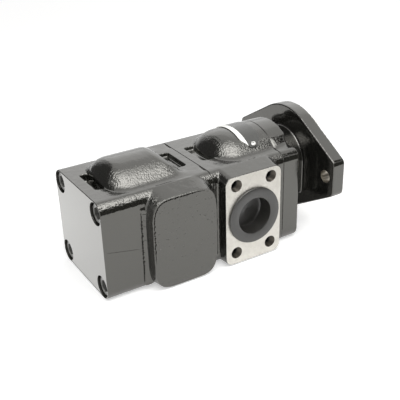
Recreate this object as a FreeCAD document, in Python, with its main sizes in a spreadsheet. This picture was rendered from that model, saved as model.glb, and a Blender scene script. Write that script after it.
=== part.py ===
# Tandem gear pump: two gear sections in line, one common inlet, one splined drive shaft.
# Frame: the origin is the centre of the mounting flange's front face, on the drive shaft's axis.
# X runs along the shaft towards the driven end, Z is up, and the inlet faces -Y. Sizes are in mm.
import FreeCAD, Part
import math
import os
import re

import Sketcher
from FreeCAD import Placement, Rotation, Vector

os.makedirs("parts", exist_ok=True)
doc = FreeCAD.newDocument("hydraulic_pump")

# Driving sizes
sizes = doc.addObject("Spreadsheet::Sheet", "Sizes")
SIZE_VALUES = {
    # housings
    "body_width": 110.2,
    "body_height": 106.4,
    "axis_rise": 22.6,
    "rear_length": 124.0,
    "front_length": 88.8,
    "cover_length": 20.9,
    "edge_radius": 9.0,
    # hump over the drive gear
    "hump_side_margin": 6.1,
    "hump_blend": 7.0,
    "rear_nose_start": 20.0,
    "rear_nose_radius": 22.0,
    "ramp_top": 84.0,
    "ramp_foot": 102.0,
    "front_nose_start": 19.0,
    "front_nose_radius": 30.0,
    # recesses in the top face
    "recess_width": 40.0,
    "recess_depth": 8.5,
    "recess_wall": 3.5,
    "recess_corner": 2.5,
    "rear_recess_start": 12.0,
    "rear_recess_end": 24.0,
    "middle_recess_end": 114.0,
    "front_recess_start": 10.0,
    "front_recess_end": 33.0,
    # blank boss of the rear housing
    "blank_rise": 11.5,
    "blank_start": 49.5,
    "blank_end": 118.5,
    "blank_low": 51.0,
    "blank_high": 44.5,
    "blank_draft": 5.5,
    "blank_corner": 9.0,
    "blank_edge": 1.2,
    "step_start": 41.6,
    "step_rise": 0.8,
    "step_low": 48.0,
    "step_high": 38.0,
    # inlet boss of the front housing
    "inlet_rise": 11.1,
    "inlet_place": 42.0,
    "inlet_boss_length": 69.0,
    "inlet_boss_low": 52.0,
    "inlet_boss_high": 49.0,
    "inlet_boss_draft": 2.0,
    "inlet_boss_corner": 8.5,
    "inlet_bore": 25.4,
    "inlet_bore_depth": 24.0,
    "inlet_throat": 16.0,
    "inlet_hole_x": 42.9,
    "inlet_hole_z": 77.8,
    "inlet_hole_radius": 6.0,
    "inlet_hole_depth": 13.0,
    # outlets on the far side
    "outlet_rise": 6.0,
    "outlet_boss_length": 48.0,
    "outlet_boss_height": 70.0,
    "outlet_bore": 9.5,
    "outlet_bore_depth": 36.0,
    "outlet_throat": 8.0,
    "outlet_hole_x": 22.2,
    "outlet_hole_z": 47.6,
    "outlet_hole_radius": 5.0,
    "outlet_hole_depth": 15.0,
    # passage from the inlet to the rear section
    "passage_offset": 41.5,
    "passage_radius": 7.0,
    "passage_straight": 26.0,
    "chamber_inset": 2.0,
    # mounting cover
    "flange_thick": 15.0,
    "flange_ear_margin": 13.0,
    "flange_ear": 19.2,
    "flange_arc": 60.0,
    "flange_corner": 7.0,
    "flange_bevel": 0.8,
    "flange_hole_spacing": 146.0,
    "flange_hole_radius": 7.15,
    "pilot_radius": 50.8,
    "pilot_length": 9.5,
    "pilot_bevel": 1.0,
    "neck_length": 21.6,
    "neck_radius": 35.0,
    "neck_low": 34.6,
    "neck_blend": 4.0,
    # gears
    "gear_module": 3.3,
    "gear_teeth": 11,
    "gear_centres": 38.0,
    "gear_tip": 22.3,
    "gear_root": 14.8,
    "gear_backlash": 0.3,
    "gear_pressure_angle": 20.0,
    "gear_root_round": 0.9,
    "front_gear_width": 36.0,
    "rear_gear_width": 29.0,
    "gear_side_gap": 0.1,
    "bore_gap": 0.2,
    # bearings
    "journal_radius": 12.0,
    "journal_gap": 0.05,
    "journal_short": 1.5,
    "bush_wall": 1.5,
    "block_gap": 0.05,
    "block_seal_width": 2.2,
    "block_seal_depth": 1.6,
    "block_seal_inset": 2.0,
    # shaft end and coupling
    "shaft_bore_gap": 0.5,
    "spline_teeth": 13,
    "spline_outer": 10.9,
    "spline_inner": 9.3,
    "spline_length": 33.0,
    "spline_bevel": 2.0,
    "shaft_reach": 41.0,
    "coupling_outer": 7.5,
    "coupling_inner": 6.1,
    "coupling_teeth": 6,
    "coupling_length": 30.0,
    "coupling_gap": 0.1,
    # shaft seals
    "seal_radius": 20.0,
    "seal_length": 8.0,
    "seal_lip_gap": 0.05,
    "seal_case_wall": 1.5,
    "seal_lip_thick": 1.0,
    "seal_lip_length": 5.0,
    "ring_thick": 1.5,
    "ring_depth": 1.6,
    "ring_sunk": 2.5,
    # tie bolts and dowel pins
    "bolt_side_margin": 12.1,
    "bolt_top_margin": 12.7,
    "bolt_radius": 7.0,
    "bolt_hole_gap": 0.5,
    "thread_gap": 0.05,
    "bolt_length": 210.0,
    "bolt_head_radius": 10.5,
    "bolt_head_height": 14.0,
    "bolt_head_bevel": 0.8,
    "bolt_socket_flats": 12.0,
    "bolt_socket_depth": 7.0,
    "counterbore_radius": 11.75,
    "tap_end_wall": 2.0,
    "bolt_head_sunk": 2.3,
    "pin_radius": 4.0,
    "pin_length": 16.0,
    "pin_side_margin": 9.1,
    "pin_z": 17.5,
    # housing seals
    "seal_track_radius": 26.5,
    "seal_track_width": 2.4,
    "seal_track_depth": 1.8,
    "passage_seal_offset": 1.2,
    "passage_seal_width": 1.8,
    # inlet plug
    "plug_rim_radius": 31.0,
    "plug_rim_thick": 2.5,
    "plug_gap": 0.05,
    "plug_depth": 20.0,
    "plug_cup_radius": 20.0,
    "plug_cup_taper": 1.0,
    "plug_floor": 2.0,
    "plug_edge": 0.6,
    "plug_rib_count": 4,
    "plug_rib_height": 0.7,
    "plug_rib_slope": 0.2,
    "plug_rib_width": 1.1,
    "plug_stem_bevel": 1.5,
    "plug_rib_pitch": 2.2,
    # nameplate
    "plate_thick": 0.8,
    "plate_gap": 0.1,
    "plate_start": 51.0,
    "plate_length": 31.0,
    "plate_angle": 33.4,
    "plate_tab_width": 10.0,
    "plate_tab_angle": 43.1,
    "rivet_angle": 38.0,
    "rivet_head_radius": 2.6,
    "rivet_head_height": 1.3,
    "rivet_shank_radius": 1.4,
    "rivet_shank_length": 6.0,
}
for row, (alias, number) in enumerate(SIZE_VALUES.items(), start=1):
    sizes.set(f"A{row}", alias)
    sizes.set(f"B{row}", str(number))
    sizes.setAlias(f"B{row}", alias)
doc.recompute()

ALIAS_WORD = re.compile(r"\b(" + "|".join(SIZE_VALUES) + r")\b")


def size(alias):
    """The number that the sheet holds for one size."""
    return float(sizes.get(alias))


def formula(text):
    """A formula written with plain size names, as the document spells it."""
    return ALIAS_WORD.sub(r"Sizes.\1", text)


def bind(thing, prop, text):
    thing.setExpression(prop, formula(text))


# Places along the shaft and up the body, as formulas
COVER_FACE = "(0 - flange_thick - neck_length)"
FRONT_SPLIT = f"({COVER_FACE} - cover_length)"
REAR_SPLIT = f"({FRONT_SPLIT} - front_length)"
REAR_END = f"({REAR_SPLIT} - rear_length)"
MID_HEIGHT = "(0 - axis_rise)"
TOP = f"({MID_HEIGHT} + body_height / 2)"
BOTTOM = f"({MID_HEIGHT} - body_height / 2)"
SIDE = "(body_width / 2)"
HUMP = f"({SIDE} - hump_side_margin)"
BOLT_Y = f"({SIDE} - bolt_side_margin)"
BOLT_Z = "(body_height / 2 - bolt_top_margin)"
PIN_Y = f"({SIDE} - pin_side_margin)"
IDLER_Z = "(0 - gear_centres)"
GEARS_Z = "(0 - gear_centres / 2)"
BORE = "(gear_tip + bore_gap)"
BLOCK_LENGTH = "(front_length / 2 - front_gear_width / 2 - gear_side_gap)"
CAVITY_DEPTH = f"(2 * {BLOCK_LENGTH} + rear_gear_width + 2 * gear_side_gap)"
CAVITY_END = f"({REAR_SPLIT} - {CAVITY_DEPTH})"
INLET_X = f"({REAR_SPLIT} + inlet_place)"
FRONT_GEAR_X = f"({REAR_SPLIT} + front_length / 2)"
REAR_GEAR_X = f"({REAR_SPLIT} - {CAVITY_DEPTH} / 2)"
BOLT_HEAD_SEAT = f"({REAR_END} + bolt_head_sunk + bolt_head_height)"
BUSH_OUTER = "(journal_radius + journal_gap + bush_wall)"
EAR_REACH = "(flange_hole_spacing / 2 + flange_ear_margin)"

TURN_TO = {
    "X": Rotation(Vector(0, 0, 1), Vector(1, 0, 0)),
    "Y": Rotation(Vector(0, 0, 1), Vector(0, 1, 0)),
    "Z": Rotation(),
}


def place(thing, point):
    for axis, text in zip("xyz", point):
        bind(thing, "Placement.Base." + axis, text)
    return thing


def box(name, lengths, corner):
    solid = doc.addObject("Part::Box", name)
    for prop, text in zip(("Length", "Width", "Height"), lengths):
        bind(solid, prop, text)
    return place(solid, corner)


def cylinder(name, radius, length, start, axis="X"):
    solid = doc.addObject("Part::Cylinder", name)
    bind(solid, "Radius", radius)
    bind(solid, "Height", length)
    solid.Placement = Placement(Vector(), TURN_TO[axis])
    return place(solid, start)


def cone(name, radius_start, radius_end, length, start, axis="X"):
    solid = doc.addObject("Part::Cone", name)
    bind(solid, "Radius1", radius_start)
    bind(solid, "Radius2", radius_end)
    bind(solid, "Height", length)
    solid.Placement = Placement(Vector(), TURN_TO[axis])
    return place(solid, start)


def fuse(name, parts):
    joined = doc.addObject("Part::MultiFuse", name)
    joined.Shapes = parts
    joined.Refine = True
    return joined


def cut(name, base, tools):
    tool = tools[0] if len(tools) == 1 else fuse(name + "_tools", tools)
    result = doc.addObject("Part::Cut", name)
    result.Base = base
    result.Tool = tool
    return result


def common(name, base, tool):
    result = doc.addObject("Part::Common", name)
    result.Base = base
    result.Tool = tool
    return result


def group(name, parts):
    together = doc.addObject("Part::Compound", name)
    together.Links = parts
    return together


def with_mirror(name, source, normal, through):
    """The source and its mirror image across the plane with this normal through this point."""
    image = doc.addObject("Part::Mirroring", name + "_image")
    image.Source = source
    image.Normal = normal
    for axis, text in zip("xyz", through):
        bind(image, "Base." + axis, text)
    return group(name, [source, image])


def four_of(name, source, across_x=None):
    """Four copies: mirrored across Y = 0 or across one X, and across the body's mid height."""
    first = (across_x, Vector(1, 0, 0)) if across_x else ("0", Vector(0, 1, 0))
    pair = with_mirror(name + "_pair", source, first[1], (first[0], "0", "0"))
    return with_mirror(name, pair, Vector(0, 0, 1), ("0", "0", MID_HEIGHT))


def edge_points(edge):
    return edge.discretize(5)


def round_edges(name, base, radius, keep):
    """Round the base's edges whose sample points all pass the keep test."""
    doc.recompute()
    rounded = doc.addObject("Part::Fillet", name)
    rounded.Base = base
    picked = [n for n, edge in enumerate(base.Shape.Edges, start=1) if keep(edge_points(edge))]
    if not picked:
        raise ValueError(name + " found no edge to round")
    rounded.Edges = [(n, radius, radius) for n in picked]
    return rounded


def along(axis):
    """A test for straight edges parallel to one axis, 0 for X, 1 for Y and 2 for Z."""
    def test(points):
        others = [i for i in range(3) if i != axis]
        return all(abs(p[i] - points[0][i]) < 1e-6 for p in points for i in others)
    return test


def cast_boss(name, face, low, high, ends, draft, corner):
    """A boss on the -Y side whose ends spread to its foot and whose top slopes up to the body's."""
    boss = doc.addObject("Part::Wedge", name + "_sides")
    foot = f"(0 - {SIDE} + edge_radius)"
    for prop, text in (
        ("Ymin", face), ("Ymax", foot),
        ("Xmin", ends[0]), ("Xmax", ends[1]), ("Zmin", low), ("Zmax", high),
        ("X2min", f"{ends[0]} - {draft}"), ("X2max", f"{ends[1]} + {draft}"),
        ("Z2min", low), ("Z2max", TOP),
    ):
        bind(boss, prop, text)
    doc.recompute()
    return round_edges(name, boss, corner, lambda points: abs(points[0].y - points[-1].y) > 1e-3)


def rounded_box(name, lengths, corner, radius, axis):
    return round_edges(name, box(name + "_box", lengths, corner), radius, along(axis))


def named_plane(body, role):
    return [f for f in body.Origin.OriginFeatures if f.Role == role][0]


def outline_sketch(body, name, role, points, offset="0"):
    """A closed outline of straight lines, each corner tied to the sheet by two distances."""
    sketch = body.newObject("Sketcher::SketchObject", name)
    sketch.AttachmentSupport = (named_plane(body, role), [""])
    sketch.MapMode = "FlatFace"
    bind(sketch, "AttachmentOffset.Base.z", offset)
    count = len(points)
    turn = 2 * math.pi / count
    first_guess = [Vector(math.cos(i * turn), math.sin(i * turn), 0) for i in range(count)]
    for i in range(count):
        line = Part.LineSegment(first_guess[i], first_guess[(i + 1) % count])
        sketch.addGeometry(line, False)
    for i in range(count):
        sketch.addConstraint(Sketcher.Constraint("Coincident", i, 2, (i + 1) % count, 1))
    for i, corner in enumerate(points):
        for kind, text, guess in zip(("DistanceX", "DistanceY"), corner, first_guess[i]):
            made = sketch.addConstraint(Sketcher.Constraint(kind, -1, 1, i, 1, float(guess)))
            bind(sketch, f"Constraints[{made}]", text)
    return sketch


def turned(name, points, axis="X", at=("0", "0", "0")):
    """A lathe-turned piece: points are (along the axis, radius)."""
    body = doc.addObject("PartDesign::Body", name)
    if axis == "X":
        sketch = outline_sketch(body, name + "_profile", "XZ_Plane", points)
    else:
        flipped = [(radius, run) for run, radius in points]
        sketch = outline_sketch(body, name + "_profile", "XY_Plane", flipped)
    spin = body.newObject("PartDesign::Revolution", name + "_turned")
    spin.Profile = sketch
    spin.ReferenceAxis = (sketch, ["H_Axis" if axis == "X" else "V_Axis"])
    spin.Angle = 360
    sketch.Visibility = False
    return place(body, at)


def prism(name, role, points, length, offset="0", both_sides=False):
    body = doc.addObject("PartDesign::Body", name)
    sketch = outline_sketch(body, name + "_outline", role, points, offset)
    pad = body.newObject("PartDesign::Pad", name + "_pad")
    pad.Profile = sketch
    pad.Midplane = both_sides
    bind(pad, "Length", length)
    return body


FINISHED = []


def finish(thing, name):
    """Give a piece its name and put it on the list of pieces that are written out."""
    thing.Label = name
    FINISHED.append(thing)
    return thing


# Shared shapes of the two housings

def body_block(name, length, start):
    """A length of the square body with its four long edges rounded."""
    return rounded_box(
        name, (length, "body_width", "body_height"), (start, f"0 - {SIDE}", BOTTOM),
        size("edge_radius"), axis=0,
    )


def nosed_hump(name, start, length, nose_radius):
    """The round back over the drive gear, with its rear end rounded off."""
    doc.recompute()
    bar = cylinder(name + "_bar", HUMP, length, (start, "0", "0"))
    doc.recompute()
    rear_face = bar.Shape.BoundBox.XMin
    return round_edges(
        name, bar, nose_radius, lambda points: all(abs(p.x - rear_face) < 1e-6 for p in points),
    )


def hump_radius():
    return size("body_width") / 2 - size("hump_side_margin")


def blend_hump(name, fused):
    """The hollow fillet where the hump runs into the flat top."""
    doc.recompute()
    top = size("body_height") / 2 - size("axis_rise")
    foot = math.sqrt(hump_radius() ** 2 - top ** 2)

    def keep(points):
        on_top = all(abs(p.z - top) < 1e-5 and abs(p.y) < foot + 1e-3 for p in points)
        across = all(abs(p.x - points[0].x) < 1e-6 for p in points)
        return on_top and not across

    return round_edges(name, fused, size("hump_blend"), keep)


def top_recess(name, start, length):
    deep = f"(recess_depth + {HUMP})"
    return rounded_box(
        name, (length, "recess_width", deep),
        (start, "0 - recess_width / 2", f"{TOP} - recess_depth"), size("recess_corner"), axis=2,
    )


def recess_over_bore(name, start, length):
    """A recess whose floor rises over the drive gear's bore to leave a wall there."""
    pocket = top_recess(name + "_pocket", start, length)
    wall = cylinder(name + "_wall", f"{BORE} + recess_wall", length, (start, "0", "0"))
    return cut(name, pocket, [wall])


def gear_bores(name, start, length):
    upper = cylinder(name + "_upper", BORE, length, (start, "0", "0"))
    lower = cylinder(name + "_lower", BORE, length, (start, "0", IDLER_Z))
    return fuse(name, [upper, lower])


def track(name, radius, straight, length, start, y, z):
    """A bar with straight flanks and round ends, running along X."""
    upper = cylinder(name + "_upper", radius, length, (start, y, f"{z} + {straight} / 2"))
    lower = cylinder(name + "_lower", radius, length, (start, y, f"{z} - {straight} / 2"))
    middle = box(
        name + "_middle", (length, f"2 * {radius}", straight),
        (start, f"{y} - {radius}", f"{z} - {straight} / 2"),
    )
    return fuse(name, [upper, lower, middle])


def track_ring(name, inner, width, straight, depth, start, y, z):
    outside = track(name + "_outside", f"({inner} + {width})", straight, depth, start, y, z)
    inside = track(name + "_inside", inner, straight, depth, start, y, z)
    return cut(name, outside, [inside])


def bore_seal_ring(name, split):
    return track_ring(
        name, "seal_track_radius", "seal_track_width", "gear_centres", "seal_track_depth",
        f"{split} - seal_track_depth", "0", GEARS_Z,
    )


def passage_seal_ring(name):
    return track_ring(
        name, "(passage_radius + passage_seal_offset)", "passage_seal_width", "passage_straight",
        "seal_track_depth", f"{REAR_SPLIT} - seal_track_depth", "0 - passage_offset", MID_HEIGHT,
    )


def passage(name, start, length):
    return track(
        name, "passage_radius", "passage_straight", length, start, "0 - passage_offset", MID_HEIGHT,
    )


def bolt_tools(name, radius, start, length):
    first = cylinder(name + "_first", radius, length, (start, BOLT_Y, f"{MID_HEIGHT} + {BOLT_Z}"))
    return four_of(name, first)


def pin_pair(name, radius, split):
    pin = cylinder(
        name + "_first", radius, "pin_length",
        (f"{split} - pin_length / 2", PIN_Y, f"{MID_HEIGHT} + pin_z"),
    )
    return with_mirror(name, pin, Vector(0, 0, 1), ("0", "0", MID_HEIGHT))


def outlet_boss(name, x):
    return rounded_box(
        name, ("outlet_boss_length", "outlet_rise + edge_radius", "outlet_boss_height"),
        (f"{x} - outlet_boss_length / 2", f"{SIDE} - edge_radius",
         f"{MID_HEIGHT} - outlet_boss_height / 2"),
        size("inlet_boss_corner"), axis=1,
    )


def outlet_tools(name, x):
    """The outlet's bore into the gear cavity and its four tapped holes."""
    face = f"({SIDE} + outlet_rise)"
    bore = cylinder(
        name + "_bore", "outlet_bore", "outlet_bore_depth",
        (x, f"{face} - outlet_bore_depth", GEARS_Z), axis="Y",
    )
    throat = cylinder(name + "_throat", "outlet_throat", face, (x, "0", GEARS_Z), axis="Y")
    hole = cylinder(
        name + "_hole", "outlet_hole_radius", "outlet_hole_depth",
        (f"{x} + outlet_hole_x / 2", f"{face} - outlet_hole_depth",
         f"{GEARS_Z} + outlet_hole_z / 2"), axis="Y",
    )
    pair = with_mirror(name + "_taps_pair", hole, Vector(1, 0, 0), (x, "0", "0"))
    taps = with_mirror(name + "_taps", pair, Vector(0, 0, 1), ("0", "0", GEARS_Z))
    return [bore, throat, taps]


# Rear housing

def rear_housing():
    block = body_block("rear_block", "rear_length", REAR_END)
    hump = nosed_hump(
        "rear_hump", f"{REAR_END} + rear_nose_start", "ramp_foot - rear_nose_start",
        size("rear_nose_radius"),
    )
    above = f"({HUMP} + edge_radius)"
    ramp = prism(
        "rear_ramp", "XZ_Plane",
        [(f"{REAR_END} + ramp_top", HUMP), (f"{REAR_END} + ramp_foot", TOP),
         (f"{REAR_SPLIT}", TOP), (f"{REAR_SPLIT}", above), (f"{REAR_END} + ramp_top", above)],
        "body_width", both_sides=True,
    )
    back = cut("rear_back", hump, [ramp])
    blended = blend_hump("rear_blended", fuse("rear_block_and_back", [block, back]))
    boss = cast_boss(
        "rear_blank_block", f"(0 - {SIDE} - blank_rise)", f"({MID_HEIGHT} - blank_low)",
        f"({MID_HEIGHT} + blank_high)",
        (f"({REAR_END} + blank_start)", f"({REAR_END} + blank_end)"), "blank_draft",
        size("blank_corner"),
    )
    face = -size("body_width") / 2 - size("blank_rise")
    boss = round_edges(
        "rear_blank", boss, size("blank_edge"),
        lambda points: all(abs(p.y - face) < 1e-6 for p in points),
    )
    step = box(
        "rear_blank_step",
        ("blank_start - step_start", "step_rise + edge_radius", "step_low + step_high"),
        (f"{REAR_END} + step_start", f"0 - {SIDE} - step_rise", f"{MID_HEIGHT} - step_low"),
    )
    outlet = outlet_boss("rear_outlet_boss", REAR_GEAR_X)
    casting = fuse("rear_casting", [blended, boss, step, outlet])
    chamber_half = "(rear_gear_width / 2 - chamber_inset)"
    chamber = box(
        "rear_inlet_chamber", (f"2 * {chamber_half}", "passage_offset", "passage_straight"),
        (f"{REAR_GEAR_X} - {chamber_half}", "0 - passage_offset", f"{GEARS_Z} - passage_straight / 2"),
    )
    tools = [
        top_recess("rear_recess", f"{REAR_END} + rear_recess_start",
                   "rear_recess_end - rear_recess_start"),
        recess_over_bore("middle_recess", f"{REAR_END} + ramp_foot", "middle_recess_end - ramp_foot"),
        gear_bores("rear_cavity", CAVITY_END, CAVITY_DEPTH),
        passage("rear_passage", f"{REAR_GEAR_X} - {chamber_half}",
                f"{REAR_SPLIT} - {REAR_GEAR_X} + {chamber_half}"),
        chamber,
        bolt_tools("rear_bolt_holes", "bolt_radius + bolt_hole_gap", REAR_END, "rear_length"),
        bolt_tools("rear_counterbores", "counterbore_radius", REAR_END,
                   "bolt_head_sunk + bolt_head_height"),
        bore_seal_ring("rear_seal_groove", REAR_SPLIT),
        passage_seal_ring("passage_seal_groove"),
        pin_pair("rear_pin_holes", "pin_radius", REAR_SPLIT),
    ] + outlet_tools("rear_outlet", REAR_GEAR_X)
    return finish(cut("rear_housing_shape", casting, tools), "rear_housing")


# Front housing

def inlet_tap():
    face = f"(0 - {SIDE} - inlet_rise)"
    spot = (f"{INLET_X} + inlet_hole_x / 2", face, f"{MID_HEIGHT} + inlet_hole_z / 2")
    return cylinder("inlet_hole", "inlet_hole_radius", "inlet_hole_depth", spot, axis="Y")


def front_housing():
    block = body_block("front_block", "front_length", REAR_SPLIT)
    hump = nosed_hump(
        "front_hump", f"{REAR_SPLIT} + front_nose_start", "front_length - front_nose_start",
        size("front_nose_radius"),
    )
    blended = blend_hump("front_blended", fuse("front_block_and_hump", [block, hump]))
    face = f"(0 - {SIDE} - inlet_rise)"
    boss = cast_boss(
        "inlet_boss", face, f"({MID_HEIGHT} - inlet_boss_low)", f"({MID_HEIGHT} + inlet_boss_high)",
        (f"({INLET_X} - inlet_boss_length / 2)", f"({INLET_X} + inlet_boss_length / 2)"),
        "inlet_boss_draft", size("inlet_boss_corner"),
    )
    outlet = outlet_boss("front_outlet_boss", FRONT_GEAR_X)
    casting = fuse("front_casting", [blended, boss, outlet])
    tools = [
        recess_over_bore("front_recess", f"{REAR_SPLIT} + front_recess_start",
                         "front_recess_end - front_recess_start"),
        gear_bores("front_cavity", REAR_SPLIT, "front_length"),
        cylinder("inlet_port", "inlet_bore", "inlet_bore_depth", (INLET_X, face, MID_HEIGHT), "Y"),
        cylinder("inlet_throat_bore", "inlet_throat", f"{SIDE} + inlet_rise",
                 (INLET_X, face, MID_HEIGHT), "Y"),
        four_of("inlet_taps", inlet_tap(), across_x=INLET_X),
        passage("front_passage", REAR_SPLIT, "inlet_place"),
        bolt_tools("front_bolt_holes", "bolt_radius + bolt_hole_gap", REAR_SPLIT, "front_length"),
        bore_seal_ring("front_seal_groove", FRONT_SPLIT),
        pin_pair("front_rear_pin_holes", "pin_radius", REAR_SPLIT),
        pin_pair("front_pin_holes", "pin_radius", FRONT_SPLIT),
    ] + outlet_tools("front_outlet", FRONT_GEAR_X)
    return finish(cut("front_housing_shape", casting, tools), "front_housing")


# Mounting cover with its flange

def dress(body, kind, name, edges, prop, text):
    """Round or bevel edges of a body's latest feature."""
    latest = body.Tip
    feature = body.newObject("PartDesign::" + kind, name)
    feature.Base = (latest, edges)
    bind(feature, prop, text)
    doc.recompute()
    return body


def flange_plate():
    """The two-bolt flange: a hexagon whose top and bottom points are rounded to the centre arc."""
    reach_sq = f"({EAR_REACH} ^ 2 + flange_ear ^ 2)"
    tangent = f"({EAR_REACH} * sqrt({reach_sq} - flange_arc ^ 2))"
    peak = f"(flange_arc * {reach_sq} / (flange_ear * flange_arc + {tangent}))"
    corners = [
        (EAR_REACH, "0 - flange_ear"), (EAR_REACH, "flange_ear"), ("0", peak),
        (f"0 - {EAR_REACH}", "flange_ear"), (f"0 - {EAR_REACH}", "0 - flange_ear"),
        ("0", f"0 - {peak}"),
    ]
    body = prism("flange_plate", "YZ_Plane", corners, "flange_thick", "0 - flange_thick")
    doc.recompute()
    reach = size("flange_hole_spacing") / 2 + size("flange_ear_margin")
    for name, place_y, radius in (("arcs", 0, "flange_arc"), ("ears", reach, "flange_corner")):
        edges = [
            f"Edge{n}" for n, edge in enumerate(body.Shape.Edges, start=1)
            if along(0)(edge_points(edge)) and abs(abs(edge.CenterOfMass.y) - place_y) < 1e-6
        ]
        dress(body, "Fillet", "flange_" + name, edges, "Radius", radius)
    back = body.Shape.BoundBox.XMin
    rim = [
        f"Edge{n}" for n, edge in enumerate(body.Shape.Edges, start=1)
        if all(abs(p.x - back) < 1e-6 for p in edge_points(edge))
    ]
    return dress(body, "Chamfer", "flange_bevel_edge", rim, "Size", "flange_bevel")


def mounting_cover():
    block = body_block("cover_block", "cover_length", FRONT_SPLIT)
    hump = cylinder("cover_hump", HUMP, "cover_length", (FRONT_SPLIT, "0", "0"))
    blended = blend_hump("cover_blended", fuse("cover_block_and_hump", [block, hump]))
    neck_round = cylinder("neck_round", "neck_radius", "neck_length", (COVER_FACE, "0", "0"))
    neck_foot = rounded_box(
        "neck_foot", ("neck_length", "2 * neck_radius", "neck_low + neck_radius"),
        (COVER_FACE, "0 - neck_radius", "0 - neck_low"), size("neck_blend"), axis=0,
    )
    square = box(
        "neck_square", ("neck_length", "2 * neck_radius", "neck_low"),
        (COVER_FACE, "0 - neck_radius", "0 - neck_low"),
    )
    neck = fuse("neck", [neck_round, common("neck_lower", neck_foot, square)])
    plate = flange_plate()
    pilot = cylinder("pilot_disc", "pilot_radius", "pilot_length - pilot_bevel", ("0", "0", "0"))
    pilot_edge = cone(
        "pilot_edge", "pilot_radius", "pilot_radius - pilot_bevel", "pilot_bevel",
        ("pilot_length - pilot_bevel", "0", "0"),
    )
    joined = fuse("cover_joined", [blended, neck, plate, pilot, pilot_edge])
    back = -size("flange_thick")
    wide = size("neck_radius") + 1

    def neck_line(points):
        return all(abs(p.x - back) < 1e-6 and abs(p.y) < wide and abs(p.z) < wide for p in points)

    filleted = round_edges("cover_casting", joined, size("neck_blend"), neck_line)
    shaft_bore = "(journal_radius + shaft_bore_gap)"
    seal_stack = "(2 * seal_length + ring_thick + ring_sunk)"
    hole = cylinder(
        "flange_hole", "flange_hole_radius", "flange_thick",
        ("0 - flange_thick", "flange_hole_spacing / 2", "0"),
    )
    tools = [
        cylinder("shaft_bore", shaft_bore, f"0 - {FRONT_SPLIT} + pilot_length", (FRONT_SPLIT, "0", "0")),
        cylinder("seal_bore", "seal_radius", seal_stack, (f"pilot_length - {seal_stack}", "0", "0")),
        cylinder("ring_groove", "seal_radius + ring_depth", "ring_thick",
                 ("pilot_length - ring_sunk - ring_thick", "0", "0")),
        with_mirror("flange_holes", hole, Vector(0, 1, 0), ("0", "0", "0")),
        bolt_tools("cover_taps", "bolt_radius + thread_gap", FRONT_SPLIT, "cover_length - tap_end_wall"),
        pin_pair("cover_pin_holes", "pin_radius", FRONT_SPLIT),
    ]
    return finish(cut("mounting_cover_shape", filleted, tools), "mounting_cover")


# Gears and shafts

FLANK_STEPS = 4
# half widths of a straight-sided tooth, as shares of the spacing between two teeth
TOOTH_FOOT = 0.32
TOOTH_TIP = 0.2


def polar(radius, angle, x=0.0):
    return Vector(x, radius * math.cos(angle), radius * math.sin(angle))


def involute(angle):
    return math.tan(angle) - angle


def gear_face(phase, x):
    """One gear's outline across X: involute flanks, tip arcs and round roots."""
    teeth = int(size("gear_teeth"))
    base = size("gear_module") * teeth * math.cos(math.radians(size("gear_pressure_angle"))) / 2
    pitch = size("gear_centres") / 2
    tip = size("gear_tip")
    root = size("gear_root")
    foot = root + size("gear_root_round")
    thickness = math.pi * pitch / teeth - size("gear_backlash") / 2
    working = math.acos(base / pitch)

    def half_angle(radius):
        return thickness / (2 * pitch) + involute(working) - involute(math.acos(min(1, base / radius)))

    radii = [base + (tip - base) * i / FLANK_STEPS for i in range(FLANK_STEPS + 1)]
    edges = []
    step = 2 * math.pi / teeth
    for n in range(teeth):
        middle = phase + n * step
        rising = [polar(r, middle - half_angle(r), x) for r in radii]
        falling = [polar(r, middle + half_angle(r), x) for r in reversed(radii)]
        feet = half_angle(base)
        edges.append(Part.makeLine(polar(foot, middle - feet, x), rising[0]))
        for flank in (rising, falling):
            curve = Part.BSplineCurve()
            curve.interpolate(flank)
            if flank is falling:
                edges.append(Part.Arc(rising[-1], polar(tip, middle, x), falling[0]).toShape())
            edges.append(curve.toShape())
        edges.append(Part.makeLine(falling[-1], polar(foot, middle + feet, x)))
        edges.append(Part.Arc(
            polar(foot, middle + feet, x), polar(root, middle + step / 2, x),
            polar(foot, middle + step - feet, x),
        ).toShape())
    return Part.Face(Part.Wire(edges))


def spline_face(teeth, inner, outer, x):
    """A straight-sided spline's outline across X."""
    step = 2 * math.pi / teeth
    edges = []
    for n in range(teeth):
        middle = n * step
        low = step * TOOTH_FOOT
        high = step * TOOTH_TIP
        corners = [
            polar(inner, middle - low, x), polar(outer, middle - high, x),
            polar(outer, middle + high, x), polar(inner, middle + low, x),
        ]
        edges.append(Part.makeLine(corners[0], corners[1]))
        edges.append(Part.Arc(corners[1], polar(outer, middle, x), corners[2]).toShape())
        edges.append(Part.makeLine(corners[2], corners[3]))
        edges.append(Part.Arc(
            corners[3], polar(inner, middle + step / 2, x), polar(inner, middle + step - low, x),
        ).toShape())
    return Part.Face(Part.Wire(edges))


def rod(radius, start, end):
    return Part.makeCylinder(radius, end - start, Vector(start, 0, 0), Vector(1, 0, 0))


def extrude(face, length):
    return face.extrude(Vector(length, 0, 0))


def own_shape(name, shape, z=0.0):
    """A piece whose shape is worked out here, set down at its own height."""
    piece = doc.addObject("Part::Feature", name + "_shape")
    piece.Shape = shape
    piece.Placement = Placement(Vector(0, 0, z), Rotation())
    return finish(piece, name)


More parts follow.
